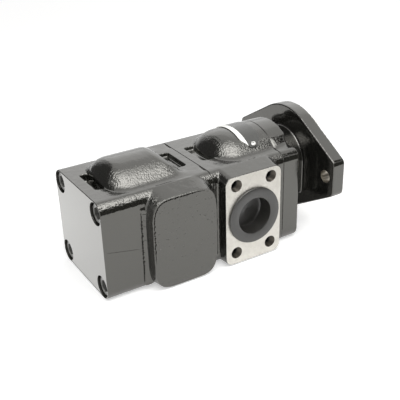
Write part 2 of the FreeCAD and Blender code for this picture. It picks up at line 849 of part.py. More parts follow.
def gears():
    front_split = -size("flange_thick") - size("neck_length") - size("cover_length")
    rear_split = front_split - size("front_length")
    block = size("front_length") / 2 - size("front_gear_width") / 2 - size("gear_side_gap")
    gap = size("gear_side_gap")
    short = size("journal_short")
    journal = size("journal_radius")
    idler_z = -size("gear_centres")
    half_tooth = math.pi / int(size("gear_teeth"))
    down = -math.pi / 2
    up = math.pi / 2

    def geared(phase, gear_start, width, journal_start, journal_end):
        tooth_ring = extrude(gear_face(phase, gear_start), width)
        return tooth_ring.fuse(rod(journal, journal_start, journal_end))

    front_start = rear_split + block + gap
    front_end = front_start + size("front_gear_width")
    rear_start = rear_split - block - gap - size("rear_gear_width")
    rear_end = rear_start + size("rear_gear_width")
    inner = size("coupling_inner")
    outer = size("coupling_outer")
    count = int(size("coupling_teeth"))
    reach = size("coupling_length") / 2
    loose = size("coupling_gap")

    def coupling_bar(start, end, extra):
        return extrude(spline_face(count, inner + extra, outer + extra, start), end - start)

    spline_end = size("shaft_reach")
    spline_start = spline_end - size("spline_length")
    tops = size("spline_outer")
    bevel = size("spline_bevel")
    drive = geared(down, front_start, size("front_gear_width"), rear_split + short, spline_start)
    spline = extrude(
        spline_face(int(size("spline_teeth")), size("spline_inner"), tops, spline_start),
        size("spline_length"),
    )
    bevelled_bar = rod(tops, spline_start, spline_end - bevel).fuse(Part.makeCone(
        tops, tops - bevel, bevel, Vector(spline_end - bevel, 0, 0), Vector(1, 0, 0),
    ))
    drive = drive.fuse(spline.common(bevelled_bar))
    socket = coupling_bar(rear_split - short, rear_split + reach + loose, loose)
    drive = drive.cut(socket)
    own_shape("drive_gear_shaft", drive)

    own_shape("coupling_shaft", coupling_bar(rear_split - reach, rear_split + reach, 0.0))

    rear_drive = geared(down, rear_start, size("rear_gear_width"), rear_start - gap - block + short,
                        rear_split - short)
    rear_socket = coupling_bar(rear_split - reach - loose, rear_split, loose)
    own_shape("rear_drive_gear", rear_drive.cut(rear_socket))

    own_shape("front_idler_gear", geared(
        up + half_tooth, front_start, size("front_gear_width"), rear_split + short,
        front_split - short), idler_z)
    own_shape("rear_idler_gear", geared(
        up + half_tooth, rear_start, size("rear_gear_width"), rear_start - gap - block + short,
        rear_split - short), idler_z)


# Bearing blocks, bushes and their seals

def figure_eight(name, radius, start, length):
    upper = cylinder(name + "_upper", radius, length, (start, "0", "0"))
    lower = cylinder(name + "_lower", radius, length, (start, "0", IDLER_Z))
    return fuse(name, [upper, lower])


def block_seal(name, start):
    """A figure-eight seal ring round both journals."""
    outer = "(gear_tip - block_seal_inset)"
    outside = figure_eight(name + "_outside", outer, start, "block_seal_depth")
    inside = figure_eight(name + "_inside", f"({outer} - block_seal_width)", start, "block_seal_depth")
    return cut(name, outside, [inside])


def bearing_block(name, start, seal_start):
    body = figure_eight(name + "_body", f"({BORE} - block_gap)", start, BLOCK_LENGTH)
    holes = figure_eight(name + "_holes", BUSH_OUTER, start, BLOCK_LENGTH)
    return finish(cut(name + "_shape", body, [holes, block_seal(name + "_groove", seal_start)]), name)


def bush(name, start, z):
    inner = "(journal_radius + journal_gap)"
    end = f"({start} + {BLOCK_LENGTH})"
    return turned(name, [(start, inner), (end, inner), (end, BUSH_OUTER), (start, BUSH_OUTER)],
                  at=("0", "0", z))


def bearings():
    rear_far = CAVITY_END
    rear_near = f"({REAR_SPLIT} - {BLOCK_LENGTH})"
    front_far = REAR_SPLIT
    front_near = f"({FRONT_SPLIT} - {BLOCK_LENGTH})"
    near_seal = "({0} - block_seal_depth)"
    bearing_block("rear_bearing_block_back", rear_far, rear_far)
    bearing_block("rear_bearing_block_front", rear_near, near_seal.format(REAR_SPLIT))
    bearing_block("front_bearing_block_back", front_far, front_far)
    bearing_block("front_bearing_block_front", front_near, near_seal.format(FRONT_SPLIT))
    finish(group("rear_block_seal_pair", [
        block_seal("rear_seal_a", rear_far), block_seal("rear_seal_b", near_seal.format(REAR_SPLIT)),
    ]), "rear_block_seals")
    finish(group("front_block_seal_pair", [
        block_seal("front_seal_a", front_far), block_seal("front_seal_b", near_seal.format(FRONT_SPLIT)),
    ]), "front_block_seals")
    for section, places in (("rear", (rear_far, rear_near)), ("front", (front_far, front_near))):
        made = [
            bush(f"{section}_bush_{n}_{row}", start, z)
            for n, start in enumerate(places) for row, z in (("drive", "0"), ("idler", IDLER_Z))
        ]
        finish(group(section + "_bush_set", made), section + "_journal_bushes")


# Seals between the housings, dowel pins and tie bolts

def housing_seals():
    finish(bore_seal_ring("rear_seal_ring", REAR_SPLIT), "rear_housing_seal")
    finish(bore_seal_ring("front_seal_ring", FRONT_SPLIT), "front_housing_seal")
    finish(passage_seal_ring("passage_ring"), "passage_seal")


def dowel_pins():
    pins = [pin_pair("rear_pins", "pin_radius", REAR_SPLIT), pin_pair("front_pins", "pin_radius", FRONT_SPLIT)]
    finish(group("pin_set", pins), "dowel_pins")


def tie_bolts():
    """Four socket-head screws from the rear face into the mounting cover."""
    head_top = f"({REAR_END} + bolt_head_sunk)"
    tip = f"({BOLT_HEAD_SEAT} + bolt_length)"
    profile = [
        (head_top, "0"), (head_top, "bolt_head_radius - bolt_head_bevel"),
        (f"{head_top} + bolt_head_bevel", "bolt_head_radius"), (BOLT_HEAD_SEAT, "bolt_head_radius"),
        (BOLT_HEAD_SEAT, "bolt_radius"), (f"{tip} - bolt_head_bevel", "bolt_radius"),
        (tip, "bolt_radius - bolt_head_bevel"), (tip, "0"),
    ]
    screw = turned("tie_bolt", profile)
    doc.recompute()
    half = "(bolt_socket_flats / 2)"
    point = "(bolt_socket_flats / sqrt(3))"
    socket = outline_sketch(screw, "tie_bolt_socket", "YZ_Plane", [
        ("0", point), (f"0 - {half}", f"{point} / 2"), (f"0 - {half}", f"0 - {point} / 2"),
        ("0", f"0 - {point}"), (half, f"0 - {point} / 2"), (half, f"{point} / 2"),
    ], head_top)
    before = screw.Shape.Volume
    pocket = screw.newObject("PartDesign::Pocket", "tie_bolt_hex")
    pocket.Profile = socket
    pocket.Reversed = True
    bind(pocket, "Length", "bolt_socket_depth")
    doc.recompute()
    if not screw.Shape.Volume < before:
        raise ValueError("the bolt's socket cuts nothing")
    place(screw, ("0", BOLT_Y, f"{MID_HEIGHT} + {BOLT_Z}"))
    finish(four_of("tie_bolt_set", screw), "tie_bolts")


# Shaft seals and their ring

def shaft_seals():
    outer_end = "(pilot_length - ring_sunk - ring_thick)"
    lip = "(journal_radius + seal_lip_gap)"

    def seal(name, end):
        start = f"({end} - seal_length)"
        wall = "seal_case_wall"
        web = f"({end} - 2 * {wall})"
        tip = f"({end} - seal_lip_length)"
        return turned(name, [
            (start, "seal_radius"), (end, "seal_radius"), (end, f"{lip} + seal_lip_thick"),
            (f"{end} - {wall}", f"{lip} + seal_lip_thick"), (f"({web} + {tip}) / 2", lip),
            (tip, f"{lip} + seal_lip_thick"), (tip, f"{lip} + 2 * seal_lip_thick"),
            (web, f"{lip} + 3 * seal_lip_thick"), (web, f"seal_radius - {wall}"),
            (start, f"seal_radius - {wall}"),
        ])

    finish(seal("seal_outer_ring", outer_end), "outer_shaft_seal")
    finish(seal("seal_inner_ring", f"({outer_end} - seal_length)"), "inner_shaft_seal")
    inside = "(seal_radius - ring_depth)"
    ring_end = f"({outer_end} + ring_thick)"
    ring = turned("ring_blank", [
        (outer_end, inside), (ring_end, inside), (ring_end, "(seal_radius + ring_depth)"),
        (outer_end, "(seal_radius + ring_depth)"),
    ])
    slot = box("ring_slot", ("3 * ring_thick", "seal_radius / 2", "2 * seal_radius"),
               (f"{outer_end} - ring_thick", "0 - seal_radius / 4", "0"))
    finish(cut("ring_shape", ring, [slot]), "seal_snap_ring")


# Inlet plug

def inlet_plug():
    """A moulded cap: a rim on the machined face and a hollow stem in the inlet bore."""
    face = f"(0 - {SIDE} - inlet_rise)"
    outside = f"({face} - plug_rim_thick)"
    floor = f"({face} + plug_depth)"
    stem = "(inlet_bore - plug_gap)"
    low_cup = "(plug_cup_radius - plug_cup_taper)"
    profile = [
        (f"{floor} - plug_floor", "0"), (f"{floor} - plug_floor", low_cup),
    ]
    for n in range(int(size("plug_rib_count"))):
        start = f"({floor} - plug_floor - {n + 1} * plug_rib_pitch)"
        rib_top = f"{low_cup} - plug_rib_height"
        profile += [
            (start, low_cup), (f"{start} - plug_rib_slope", rib_top),
            (f"{start} - plug_rib_width + plug_rib_slope", rib_top),
            (f"{start} - plug_rib_width", low_cup),
        ]
    profile += [
        (f"{outside} + plug_edge", "plug_cup_radius"), (outside, "plug_cup_radius + plug_edge"),
        (outside, "plug_rim_radius - plug_edge"), (f"{outside} + plug_edge", "plug_rim_radius"),
        (face, "plug_rim_radius"), (face, stem),
        (f"{floor} - plug_stem_bevel", stem), (floor, f"{stem} - plug_stem_bevel"), (floor, "0"),
    ]
    finish(turned("inlet_plug_body", profile, "Y", (INLET_X, "0", MID_HEIGHT)), "inlet_plug")


# Nameplate and its two rivets

def nameplate():
    """A thin bare plate rolled over the front hump, with a tab for a rivet at each end."""
    start = f"({REAR_SPLIT} + plate_start)"
    inside = f"({HUMP} + plate_gap)"
    shell_outside = cylinder("plate_outside", f"{inside} + plate_thick", "plate_length", (start, "0", "0"))
    shell_inside = cylinder("plate_inside", inside, "plate_length", (start, "0", "0"))
    shell = cut("plate_shell", shell_outside, [shell_inside])
    end = f"({start} + plate_length)"
    tab_start = f"({start} + plate_length / 2 - plate_tab_width / 2)"
    tab_end = f"({tab_start} + plate_tab_width)"
    wide = f"({HUMP} * sin(plate_angle))"
    reach = f"({HUMP} * sin(plate_tab_angle))"
    outline = prism("plate_outline", "XY_Plane", [
        (start, f"0 - {wide}"), (tab_start, f"0 - {reach}"), (tab_end, f"0 - {reach}"),
        (end, f"0 - {wide}"), (end, wide), (tab_end, reach), (tab_start, reach), (start, wide),
    ], f"2 * {HUMP}")
    plate = common("plate_shape", shell, outline)
    middle = -size("flange_thick") - size("neck_length") - size("cover_length") - size("front_length")
    middle += size("plate_start") + size("plate_length") / 2
    surface = hump_radius() + size("plate_gap") + size("plate_thick")
    head = size("rivet_head_radius")
    height = size("rivet_head_height")
    dome_radius = (head ** 2 + height ** 2) / (2 * height)
    dome = Part.makeSphere(dome_radius, Vector(0, 0, height - dome_radius))
    dome = dome.common(Part.makeCylinder(head, height))
    shank_radius = size("rivet_shank_radius")
    shank = Part.makeCylinder(shank_radius, size("rivet_shank_length"),
                              Vector(0, 0, -size("rivet_shank_length")))
    rivet = dome.fuse(shank)
    rivets = []
    holes = []
    for side in (1, -1):
        turn = Rotation(Vector(1, 0, 0), side * size("rivet_angle"))
        spot = Vector(middle, 0, 0) + turn.multVec(Vector(0, 0, surface))
        where = Placement(spot, turn)
        rivets.append(rivet.transformed(where.toMatrix()))
        holes.append(shank.transformed(where.toMatrix()))
    drill = doc.addObject("Part::Feature", "rivet_holes")
    drill.Shape = Part.makeCompound(holes)
    finish(cut("plate_drilled", plate, [drill]), "nameplate")
    own_shape("nameplate_rivets", Part.makeCompound(rivets))
    return drill


def drill_front_housing(casting, drill):
    """The rivets' holes in the hump."""
    FINISHED.remove(casting)
    casting.Label = "front_housing_undrilled"
    return finish(cut("front_housing_drilled", casting, [drill]), "front_housing")


rear_housing()
front_casting = front_housing()
mounting_cover()
gears()
bearings()
housing_seals()
dowel_pins()
tie_bolts()
shaft_seals()
inlet_plug()
drill_front_housing(front_casting, nameplate())

doc.recompute()
for thing in doc.Objects:
    if "Invalid" in thing.State or "Error" in thing.State:
        raise RuntimeError(f"{thing.Name} failed: {thing.State}")
for piece in FINISHED:
    if piece.Shape.isNull() or not piece.Shape.isValid() or not piece.Shape.Solids:
        raise RuntimeError(f"{piece.Label} has no valid solid")
for piece in FINISHED:
    piece.Shape.exportStep(f"parts/{piece.Label}.step")
    volume = sum(solid.Volume for solid in piece.Shape.Solids) / 1000
    print(f"{piece.Label}: {len(piece.Shape.Solids)} solid(s), {volume:.1f} cm3")
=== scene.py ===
# %% [markdown]
# # A tandem gear pump in gloss black enamel
# The pump is two cast-iron gear sections in line, bolted to a cover with a two-bolt flange.
# Its working parts come from the construction model. This notebook loads them as a fixed frame,
# sets up the camera and the light, mixes the finishes, and models the castings and the small
# trim by hand, because a casting has soft corners that the construction model leaves sharp.

# %% Load the frame
import math
import random

import bmesh
import bpy
from mathutils import Matrix, Vector


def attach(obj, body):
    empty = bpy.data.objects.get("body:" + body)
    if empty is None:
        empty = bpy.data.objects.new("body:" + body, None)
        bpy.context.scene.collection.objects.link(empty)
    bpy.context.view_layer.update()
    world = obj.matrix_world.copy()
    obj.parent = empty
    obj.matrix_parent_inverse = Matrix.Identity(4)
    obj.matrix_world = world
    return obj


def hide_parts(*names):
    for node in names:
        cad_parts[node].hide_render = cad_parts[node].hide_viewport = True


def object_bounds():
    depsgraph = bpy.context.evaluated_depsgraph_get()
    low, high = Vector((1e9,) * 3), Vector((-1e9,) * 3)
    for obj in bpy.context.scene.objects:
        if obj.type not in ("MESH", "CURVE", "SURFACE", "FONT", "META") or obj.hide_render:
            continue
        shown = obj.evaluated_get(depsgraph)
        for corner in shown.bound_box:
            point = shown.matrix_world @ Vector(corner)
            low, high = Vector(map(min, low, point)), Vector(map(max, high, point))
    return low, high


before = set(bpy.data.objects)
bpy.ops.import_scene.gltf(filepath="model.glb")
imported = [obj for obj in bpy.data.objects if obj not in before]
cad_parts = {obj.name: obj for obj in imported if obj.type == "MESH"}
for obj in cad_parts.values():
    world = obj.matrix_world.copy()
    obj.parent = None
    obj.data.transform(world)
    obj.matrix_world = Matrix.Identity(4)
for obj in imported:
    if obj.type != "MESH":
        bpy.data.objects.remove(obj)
cad_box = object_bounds()
MM = 0.001

# %% [markdown]
# ## Camera
# The photograph looks from behind the pump's rear end, about 31 degrees round towards the inlet
# and 27 degrees down. A camera can be set by eye, but then the lens and the distance are guessed
# together. Here both were worked out from points whose real places are known, such as the screw
# holes and the inlet's bolt pattern.

# %% Camera at the photograph's place
AZIMUTH = math.radians(-30.94)
ELEVATION = math.radians(26.81)
ROLL = math.radians(-1.73)
CAMERA_PLACE = Vector((-494.1, -608.5, 332.8)) * MM
LENS_MM = 65.1


def camera_turn():
    """The camera's axes as a matrix: right, up and back."""
    right = Vector((math.cos(AZIMUTH), math.sin(AZIMUTH), 0))
    back = Vector((
        math.sin(AZIMUTH) * math.cos(ELEVATION), -math.cos(AZIMUTH) * math.cos(ELEVATION),
        math.sin(ELEVATION),
    ))
    up = back.cross(right)
    tilted_right = math.cos(ROLL) * right + math.sin(ROLL) * up
    tilted_up = math.cos(ROLL) * up - math.sin(ROLL) * right
    return Matrix((tilted_right, tilted_up, back)).transposed()


bpy.ops.object.camera_add(location=CAMERA_PLACE, rotation=camera_turn().to_euler())
camera = bpy.context.object
camera.data.lens = LENS_MM
camera.data.clip_start = 0.01
bpy.context.scene.camera = camera
print("camera at", [round(x, 3) for x in camera.location], "lens", LENS_MM)

# %% [markdown]
# ## Helpers for materials
# Colours are written as sRGB hex values, as a colour picker gives them. Cycles works with linear
# light, so one function turns them. Another adds a node with its settings and links. Nodes can
# be wired one line at a time too, but then the settings that matter are hard to find again.

# %% Material helpers


def linear(hex_colour):
    """The linear RGBA of an sRGB hex colour such as #6e6e6a."""
    parts = [int(hex_colour[i:i + 2], 16) / 255 for i in (1, 3, 5)]
    light = [c / 12.92 if c <= 0.04045 else ((c + 0.055) / 1.055) ** 2.4 for c in parts]
    return (*light, 1.0)


def darker(hex_colour, share):
    """A colour that gives back only that share of the light."""
    return tuple(share * c for c in linear(hex_colour)[:3]) + (1.0,)


def add_node(tree, kind, links=None, **settings):
    """A node of that kind: settings name its properties or sockets, links name what feeds it."""
    node = tree.nodes.new(kind)
    for name, value in settings.items():
        if hasattr(node, name):
            setattr(node, name, value)
        else:
            node.inputs[name.replace("_", " ")].default_value = value
    for socket, source in (links or {}).items():
        tree.links.new(source, node.inputs[socket])
    return node


def new_material(name):
    """An empty material with its Principled shader, the tree and the object coordinates."""
    material = bpy.data.materials.new(name)
    material.use_nodes = True
    tree = material.node_tree
    shader = tree.nodes["Principled BSDF"]
    place = add_node(tree, "ShaderNodeTexCoord").outputs["Object"]
    return material, tree, shader, place


def ramp(tree, fac, stops):
    """A colour ramp: stops are (position, colour)."""
    node = add_node(tree, "ShaderNodeValToRGB", {"Fac": fac})
    elements = node.color_ramp.elements
    while len(elements) < len(stops):
        elements.new(0.5)
    for element, (position, colour) in zip(elements, stops):
        element.position = position
        element.color = colour
    return node.outputs["Color"]


def grey(value):
    return (value, value, value, 1.0)


def noise(tree, place, size_mm, detail=2.0, roughness=0.5):
    """A noise whose lumps are about this many millimetres across."""
    node = add_node(tree, "ShaderNodeTexNoise", {"Vector": place}, Scale=1 / (size_mm * MM))
    node.inputs["Detail"].default_value = detail
    node.inputs["Roughness"].default_value = roughness
    return node.outputs["Fac"]


print("mid grey is", round(linear("#808080")[0], 3), "in linear light")

# %% [markdown]
# ## Gloss black enamel over cast iron
# The castings are sprayed with black alkyd enamel, straight over the sand-cast skin. Black gloss
# shows almost nothing of its own colour: what the eye reads is the reflection, and how the skin's
# grit breaks it. The paint's index of refraction is 1.95, above enamel's usual 1.5, because the
# photograph was taken in a brighter studio than this one. The grit could be modelled, at the
# price of millions of faces. A bump pattern bends the reflection just as well from this distance.

# %% Enamel
# Foundry sand is a few tenths of a millimetre across, too fine to show here, so its grit is drawn
# as 1.8 mm lumps. It shows most on curved and slanting skin, and least on flats, which were
# rubbed down. SWELL_MM is the broad waviness of a casting, PIT_MM the pinholes in the paint, and
# BLOTCH_MM the patches where the gloss changes. Flats keep only a tenth of the grit.
GRIT_MM, SWELL_MM, PIT_MM, BLOTCH_MM = 1.8, 7.0, 2.8, 9.0
GRIT_ON_FLATS = 0.1
NOSE_SMOOTHNESS = 1.3
ENAMEL_IOR = 1.95


def slant(tree):
    """0 on faces square to the axes and nearly 1 on curved and slanting ones.

    The humps' blunt noses face along X and are smooth too, so X counts for more there.
    """
    facing = add_node(tree, "ShaderNodeTexCoord").outputs["Normal"]
    size = add_node(tree, "ShaderNodeVectorMath", {0: facing}, operation="ABSOLUTE")
    axes = add_node(tree, "ShaderNodeSeparateXYZ", {"Vector": size.outputs[0]})
    endways = add_node(tree, "ShaderNodeMath", {0: axes.outputs["X"]}, operation="MULTIPLY")
    endways.inputs[1].default_value = NOSE_SMOOTHNESS
    across = add_node(tree, "ShaderNodeMath", {
        0: endways.outputs[0], 1: axes.outputs["Y"],
    }, operation="MAXIMUM")
    most = add_node(tree, "ShaderNodeMath", {
        0: across.outputs[0], 1: axes.outputs["Z"],
    }, operation="MAXIMUM")
    return ramp(tree, most.outputs[0], [(0.72, grey(1)), (0.97, grey(0))])


def enamel(name, grit, swell, pits):
    """Black machine enamel: how much of its grit, its broad waviness and its pinholes shows."""
    material, tree, shader, place = new_material(name)
    shader.inputs["Base Color"].default_value = linear("#1b1b19")
    shader.inputs["IOR"].default_value = ENAMEL_IOR
    shader.inputs["Specular Tint"].default_value = linear("#fffdf6")
    blotches = noise(tree, place, BLOTCH_MM, 3)
    gloss = ramp(tree, blotches, [(0.3, grey(0.08)), (0.7, grey(0.15))])
    tree.links.new(gloss, shader.inputs["Roughness"])
    broad = add_node(tree, "ShaderNodeBump", {"Height": noise(tree, place, SWELL_MM, 1.0)},
                     Strength=swell, Distance=0.5 * MM)
    amount = add_node(tree, "ShaderNodeMath", {0: slant(tree)}, operation="MULTIPLY_ADD")
    amount.inputs[1].default_value = (1 - GRIT_ON_FLATS) * grit
    amount.inputs[2].default_value = GRIT_ON_FLATS * grit
    fine = add_node(tree, "ShaderNodeBump", {
        "Height": noise(tree, place, GRIT_MM, 1.0), "Normal": broad.outputs["Normal"],
        "Strength": amount.outputs[0],
    }, Distance=0.62 * MM)
    holes = ramp(tree, noise(tree, place, PIT_MM, 0.0), [(0.74, grey(1)), (0.78, grey(0))])
    pitted = add_node(tree, "ShaderNodeBump", {"Height": holes, "Normal": fine.outputs["Normal"]},
                      Strength=pits, Distance=0.4 * MM)
    tree.links.new(pitted.outputs["Normal"], shader.inputs["Normal"])
    return material


# The housings' rough skin sparkles. The cover's is finer, so its flange mirrors in large shapes.
cast_enamel = enamel("black_enamel_on_sand_cast_iron", 1.0, 0.2, 0.15)
cover_enamel = enamel("black_enamel_on_finer_cast_iron", 0.35, 0.04, 0.05)
# A ground pad is flat but full of pinholes. A machined face is a clean, calm mirror.
flat_enamel = enamel("black_enamel_on_ground_pads", 0.3, 0.1, 0.8)
smooth_enamel = enamel("black_enamel_on_machined_iron", 0.05, 0.04, 0.0)
print("enamels mixed, grit", GRIT_MM, "mm")

# %% [markdown]
# ## Metals, rubber and plastic of the small parts
# Bare metals are told apart by their tone and by how broad their highlights are: a fine cut gives a
# tight highlight, and a coarse cut, oil or oxide a wide or a dark one. Rubber and plastic have
# their own colour and a weak reflection. Each piece could have a material of its own, drawn by
# hand. Two functions do here, because the pieces are small and differ only in those numbers.

# %% Functions for metals and for dull stuffs


def metal(name, colour, roughness, grain_mm=0.0, grain=0.0):
    """A bare metal. Its tone and its gloss change a little over a few millimetres."""
    material, tree, shader, place = new_material(name)
    shader.inputs["Metallic"].default_value = 1.0
    tone = ramp(tree, noise(tree, place, 6, 3), [(0.3, darker(colour, 0.93)), (0.7, linear(colour))])
    tree.links.new(tone, shader.inputs["Base Color"])
    wear = noise(tree, place, 2.5, 3)
    tree.links.new(
        ramp(tree, wear, [(0.3, grey(roughness * 0.8)), (0.7, grey(roughness * 1.25))]),
        shader.inputs["Roughness"],
    )
    if grain:
        lines = noise(tree, place, grain_mm, 2)
        bump = add_node(tree, "ShaderNodeBump", {"Height": lines}, Strength=grain, Distance=0.1 * MM)
        tree.links.new(bump.outputs["Normal"], shader.inputs["Normal"])
    return material


def dull(name, colour, roughness, shine=0.5):
    """Rubber, plastic or paint with a slightly grainy skin. shine is the reflection's strength."""
    material, tree, shader, place = new_material(name)
    shader.inputs["Specular IOR Level"].default_value = shine
    tone = ramp(tree, noise(tree, place, 5, 3), [(0.3, darker(colour, 0.8)), (0.7, linear(colour))])
    tree.links.new(tone, shader.inputs["Base Color"])
    shader.inputs["Roughness"].default_value = roughness
    skin = noise(tree, place, 0.8, 2)
    bump = add_node(tree, "ShaderNodeBump", {"Height": skin}, Strength=0.2, Distance=0.1 * MM)
    tree.links.new(bump.outputs["Normal"], shader.inputs["Normal"])
    return material


print("metals and dull stuffs can be mixed")

# %% The finishes
# Ground steel has a tight highlight, so splines and teeth read as bright bands.
ground_steel = metal("ground_gear_steel", "#a9a9a8", 0.28, 1.0, 0.1)
# Die-cast aluminium is paler than steel and has a broad sheen. Sintered bronze is brown and grainy.
block_aluminium = metal("die_cast_aluminium", "#bdbdbc", 0.38, 0.9, 0.15)
bush_bronze = metal("sintered_bronze", "#a07a4c", 0.4, 0.7, 0.2)
# Heat treatment leaves the spring ring darker than the other steels.
spring_steel = metal("spring_steel_ring", "#77777a", 0.35)
# The inlet's face is newly milled and nearly white. The other cut faces are a little greyer.
milled_iron = metal("bright_milled_iron_face", "#d9d6cf", 0.5, 1.0, 0.1)
machined_iron = metal("machined_iron_face", "#c6c3bc", 0.42, 1.0, 0.15)
# A hole mirrors its own dark wall. Its threads are coloured dark as painted shade,
# and its bottom near black as deeper painted shade.
threaded_iron_painted_shade = metal("threaded_iron_with_painted_shade_in_holes", "#524e48", 0.35)
drilled_iron = metal("drilled_iron_hole", "#a39e94", 0.35)
iron_painted_shade_deep_in_holes = dull("iron_coloured_as_painted_shade_down_the_holes", "#24221f", 0.4)
# The rivets' domed aluminium heads catch the lamps and show as two bright dots.
rivet_aluminium = metal("rivet_aluminium", "#c4c4c0", 0.25)
# Nitrile rubber is matte black, and the shaft's fluoro rubber lips are brown.
seal_rubber = dull("nitrile_rubber", "#1b1b1b", 0.65)
seal_brown = dull("fluoro_rubber_seal", "#2e1d16", 0.5)
# The plug's moulded skin has a soft gloss: its rim mirrors the bright room, and its cup stays dark.
plug_plastic = dull("dark_polyethylene_plug", "#2d2c29", 0.36, shine=0.95)
# The screws' heads are gloss black: their grey colour is a painted reflection of the bright ring they
# mirror.
head_paint_with_painted_reflection = dull("screw_head_enamel_with_painted_reflection", "#6d6d6a", 0.3)

NODE_FINISH = {
    "rear_housing": cast_enamel, "front_housing": cast_enamel, "mounting_cover": cover_enamel,
    "tie_bolts": head_paint_with_painted_reflection, "dowel_pins": ground_steel,
    "rear_bearing_block_back": block_aluminium, "rear_bearing_block_front": block_aluminium,
    "front_bearing_block_back": block_aluminium, "front_bearing_block_front": block_aluminium,
    "rear_journal_bushes": bush_bronze, "front_journal_bushes": bush_bronze,
    "rear_block_seals": seal_rubber, "front_block_seals": seal_rubber,
    "rear_housing_seal": seal_rubber, "front_housing_seal": seal_rubber, "passage_seal": seal_rubber,
    "outer_shaft_seal": seal_brown, "inner_shaft_seal": seal_brown, "seal_snap_ring": spring_steel,
    "nameplate": rivet_aluminium, "nameplate_rivets": rivet_aluminium,
    "drive_gear_shaft": ground_steel, "coupling_shaft": ground_steel, "rear_drive_gear": ground_steel,
    "front_idler_gear": ground_steel, "rear_idler_gear": ground_steel, "inlet_plug": plug_plastic,
}
for node_name, finish in NODE_FINISH.items():
    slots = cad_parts[node_name].data.materials
    slots.clear()
    slots.append(finish)
print("finishes on", len(NODE_FINISH), "CAD nodes")

# %% [markdown]
# ## Tools for modelling the castings
# A casting is rough and soft-edged where the sand shaped it, and flat and sharp where a cutter
# passed later. The pieces below are made in that order. Simple forms are added at their size,
# joined, and turned into one skin by a voxel remesh, which is then smoothed. After that the
# machining is cut out of the skin with exact shapes. One could also bevel every edge of a clean
# mesh, but the many places where round forms meet would each need their own repair.

# %% Primitive forms in millimetres
REAR_END, REAR_SPLIT, FRONT_SPLIT, COVER_FACE, FLANGE_BACK = -270.3, -146.3, -57.5, -36.6, -15.0
SIDE, TOP, BOTTOM, MIDDLE = 55.1, 30.6, -75.8, -22.6
REAR_GEAR_X, FRONT_GEAR_X, GEARS_Z, IDLER_Z = -187.2, -101.9, -19.0, -38.0
INLET_X, INLET_FACE, BLANK_FACE, OUTLET_FACE = -104.3, -66.2, -66.6, 61.1


def only(piece):
    """Make one object the active one and the only one selected."""
    if bpy.context.mode != "OBJECT":
        bpy.ops.object.mode_set(mode="OBJECT")
    bpy.ops.object.select_all(action="DESELECT")
    piece.select_set(True)
    bpy.context.view_layer.objects.active = piece
    return piece


def settle(piece):
    """Put the piece's place and turn into its mesh."""
    only(piece)
    bpy.ops.object.transform_apply(location=True, rotation=True, scale=True)
    return piece


def add_block(low, high):
    bpy.ops.object.select_all(action="DESELECT")
    low, high = Vector(low) * MM, Vector(high) * MM
    bpy.ops.mesh.primitive_cube_add(size=1, location=(low + high) / 2, scale=high - low)
    return settle(bpy.context.object)


TURN = {"X": (0, math.pi / 2, 0), "Y": (-math.pi / 2, 0, 0), "Z": (0, 0, 0)}
STEP = {"X": Vector((1, 0, 0)), "Y": Vector((0, 1, 0)), "Z": Vector((0, 0, 1))}
INTO_Y = (-math.pi / 2, 0, 0)
OUT_OF_Y = (math.pi / 2, 0, 0)


def add_bar(radius, start, length, along="X", sides=96):
    """A round bar that starts at a point and runs along one axis."""
    bpy.ops.object.select_all(action="DESELECT")
    middle = (Vector(start) + STEP[along] * length / 2) * MM
    bpy.ops.mesh.primitive_cylinder_add(
        vertices=sides, radius=radius * MM, depth=length * MM, location=middle, rotation=TURN[along],
    )
    return settle(bpy.context.object)


def joined(pieces):
    only(pieces[0])
    for piece in pieces:
        piece.select_set(True)
    bpy.ops.object.join()
    return bpy.context.object


print("machined planes along the shaft:", REAR_END, REAR_SPLIT, FRONT_SPLIT, COVER_FACE)

# %% Shaping helpers
# SKIN_PASSES rounds the sharp corners by about a millimetre. RIM is the chamfer round milled ends.
VOXEL_MM, SKIN_PASSES, RIM = 0.9, 4, 0.5
SMOOTH_ANGLE = math.radians(32)


def round_edges(piece, radius, steps, test):
    """Bevel the edges whose two ends, in millimetres, pass the test."""
    only(piece)
    bpy.ops.object.mode_set(mode="EDIT")
    bpy.ops.mesh.select_mode(type="EDGE")
    bpy.ops.mesh.select_all(action="DESELECT")
    mesh = bmesh.from_edit_mesh(piece.data)
    for edge in mesh.edges:
        if test(*(v.co / MM for v in edge.verts)):
            edge.select_set(True)
    bmesh.update_edit_mesh(piece.data)
    bpy.ops.mesh.bevel(offset=radius * MM, segments=steps, affect="EDGES")
    bpy.ops.object.mode_set(mode="OBJECT")
    return piece


def runs_along(axis):
    return lambda a, b: (a - b).length > 1 and abs((a - b)[axis]) > 0.7 * (a - b).length


def pick_vertices(piece, test):
    """In edit mode, select the vertices whose place in millimetres passes the test."""
    only(piece)
    bpy.ops.object.mode_set(mode="EDIT")
    bpy.ops.mesh.select_mode(type="VERT")
    bpy.ops.mesh.select_all(action="DESELECT")
    mesh = bmesh.from_edit_mesh(piece.data)
    for vertex in mesh.verts:
        vertex.select_set(test(vertex.co / MM))
    bmesh.update_edit_mesh(piece.data)


def flat_disc(sides, turn=(0, 0, 0)):
    """A small flat round face, whose vertices are then moved to an outline."""
    bpy.ops.object.select_all(action="DESELECT")
    bpy.ops.mesh.primitive_circle_add(vertices=sides, radius=0.05, fill_type="NGON", rotation=turn)
    return settle(bpy.context.object)


def pull_out(outline, move, foot_scale=(1, 1, 1), foot_middle=(0, 0, 0)):
    """Extrude a flat outline into a solid whose foot may be larger. Its faces point outwards."""
    only(outline)
    bpy.ops.object.mode_set(mode="EDIT")
    bpy.ops.mesh.select_all(action="SELECT")
    bpy.ops.mesh.extrude_region_move(TRANSFORM_OT_translate={"value": tuple(m * MM for m in move)})
    bpy.ops.transform.resize(value=foot_scale, center_override=tuple(m * MM for m in foot_middle))
    bpy.ops.mesh.select_all(action="SELECT")
    bpy.ops.mesh.normals_make_consistent(inside=False)
    bpy.ops.object.mode_set(mode="OBJECT")
    return outline


print("helpers ready, chamfer", RIM, "mm")

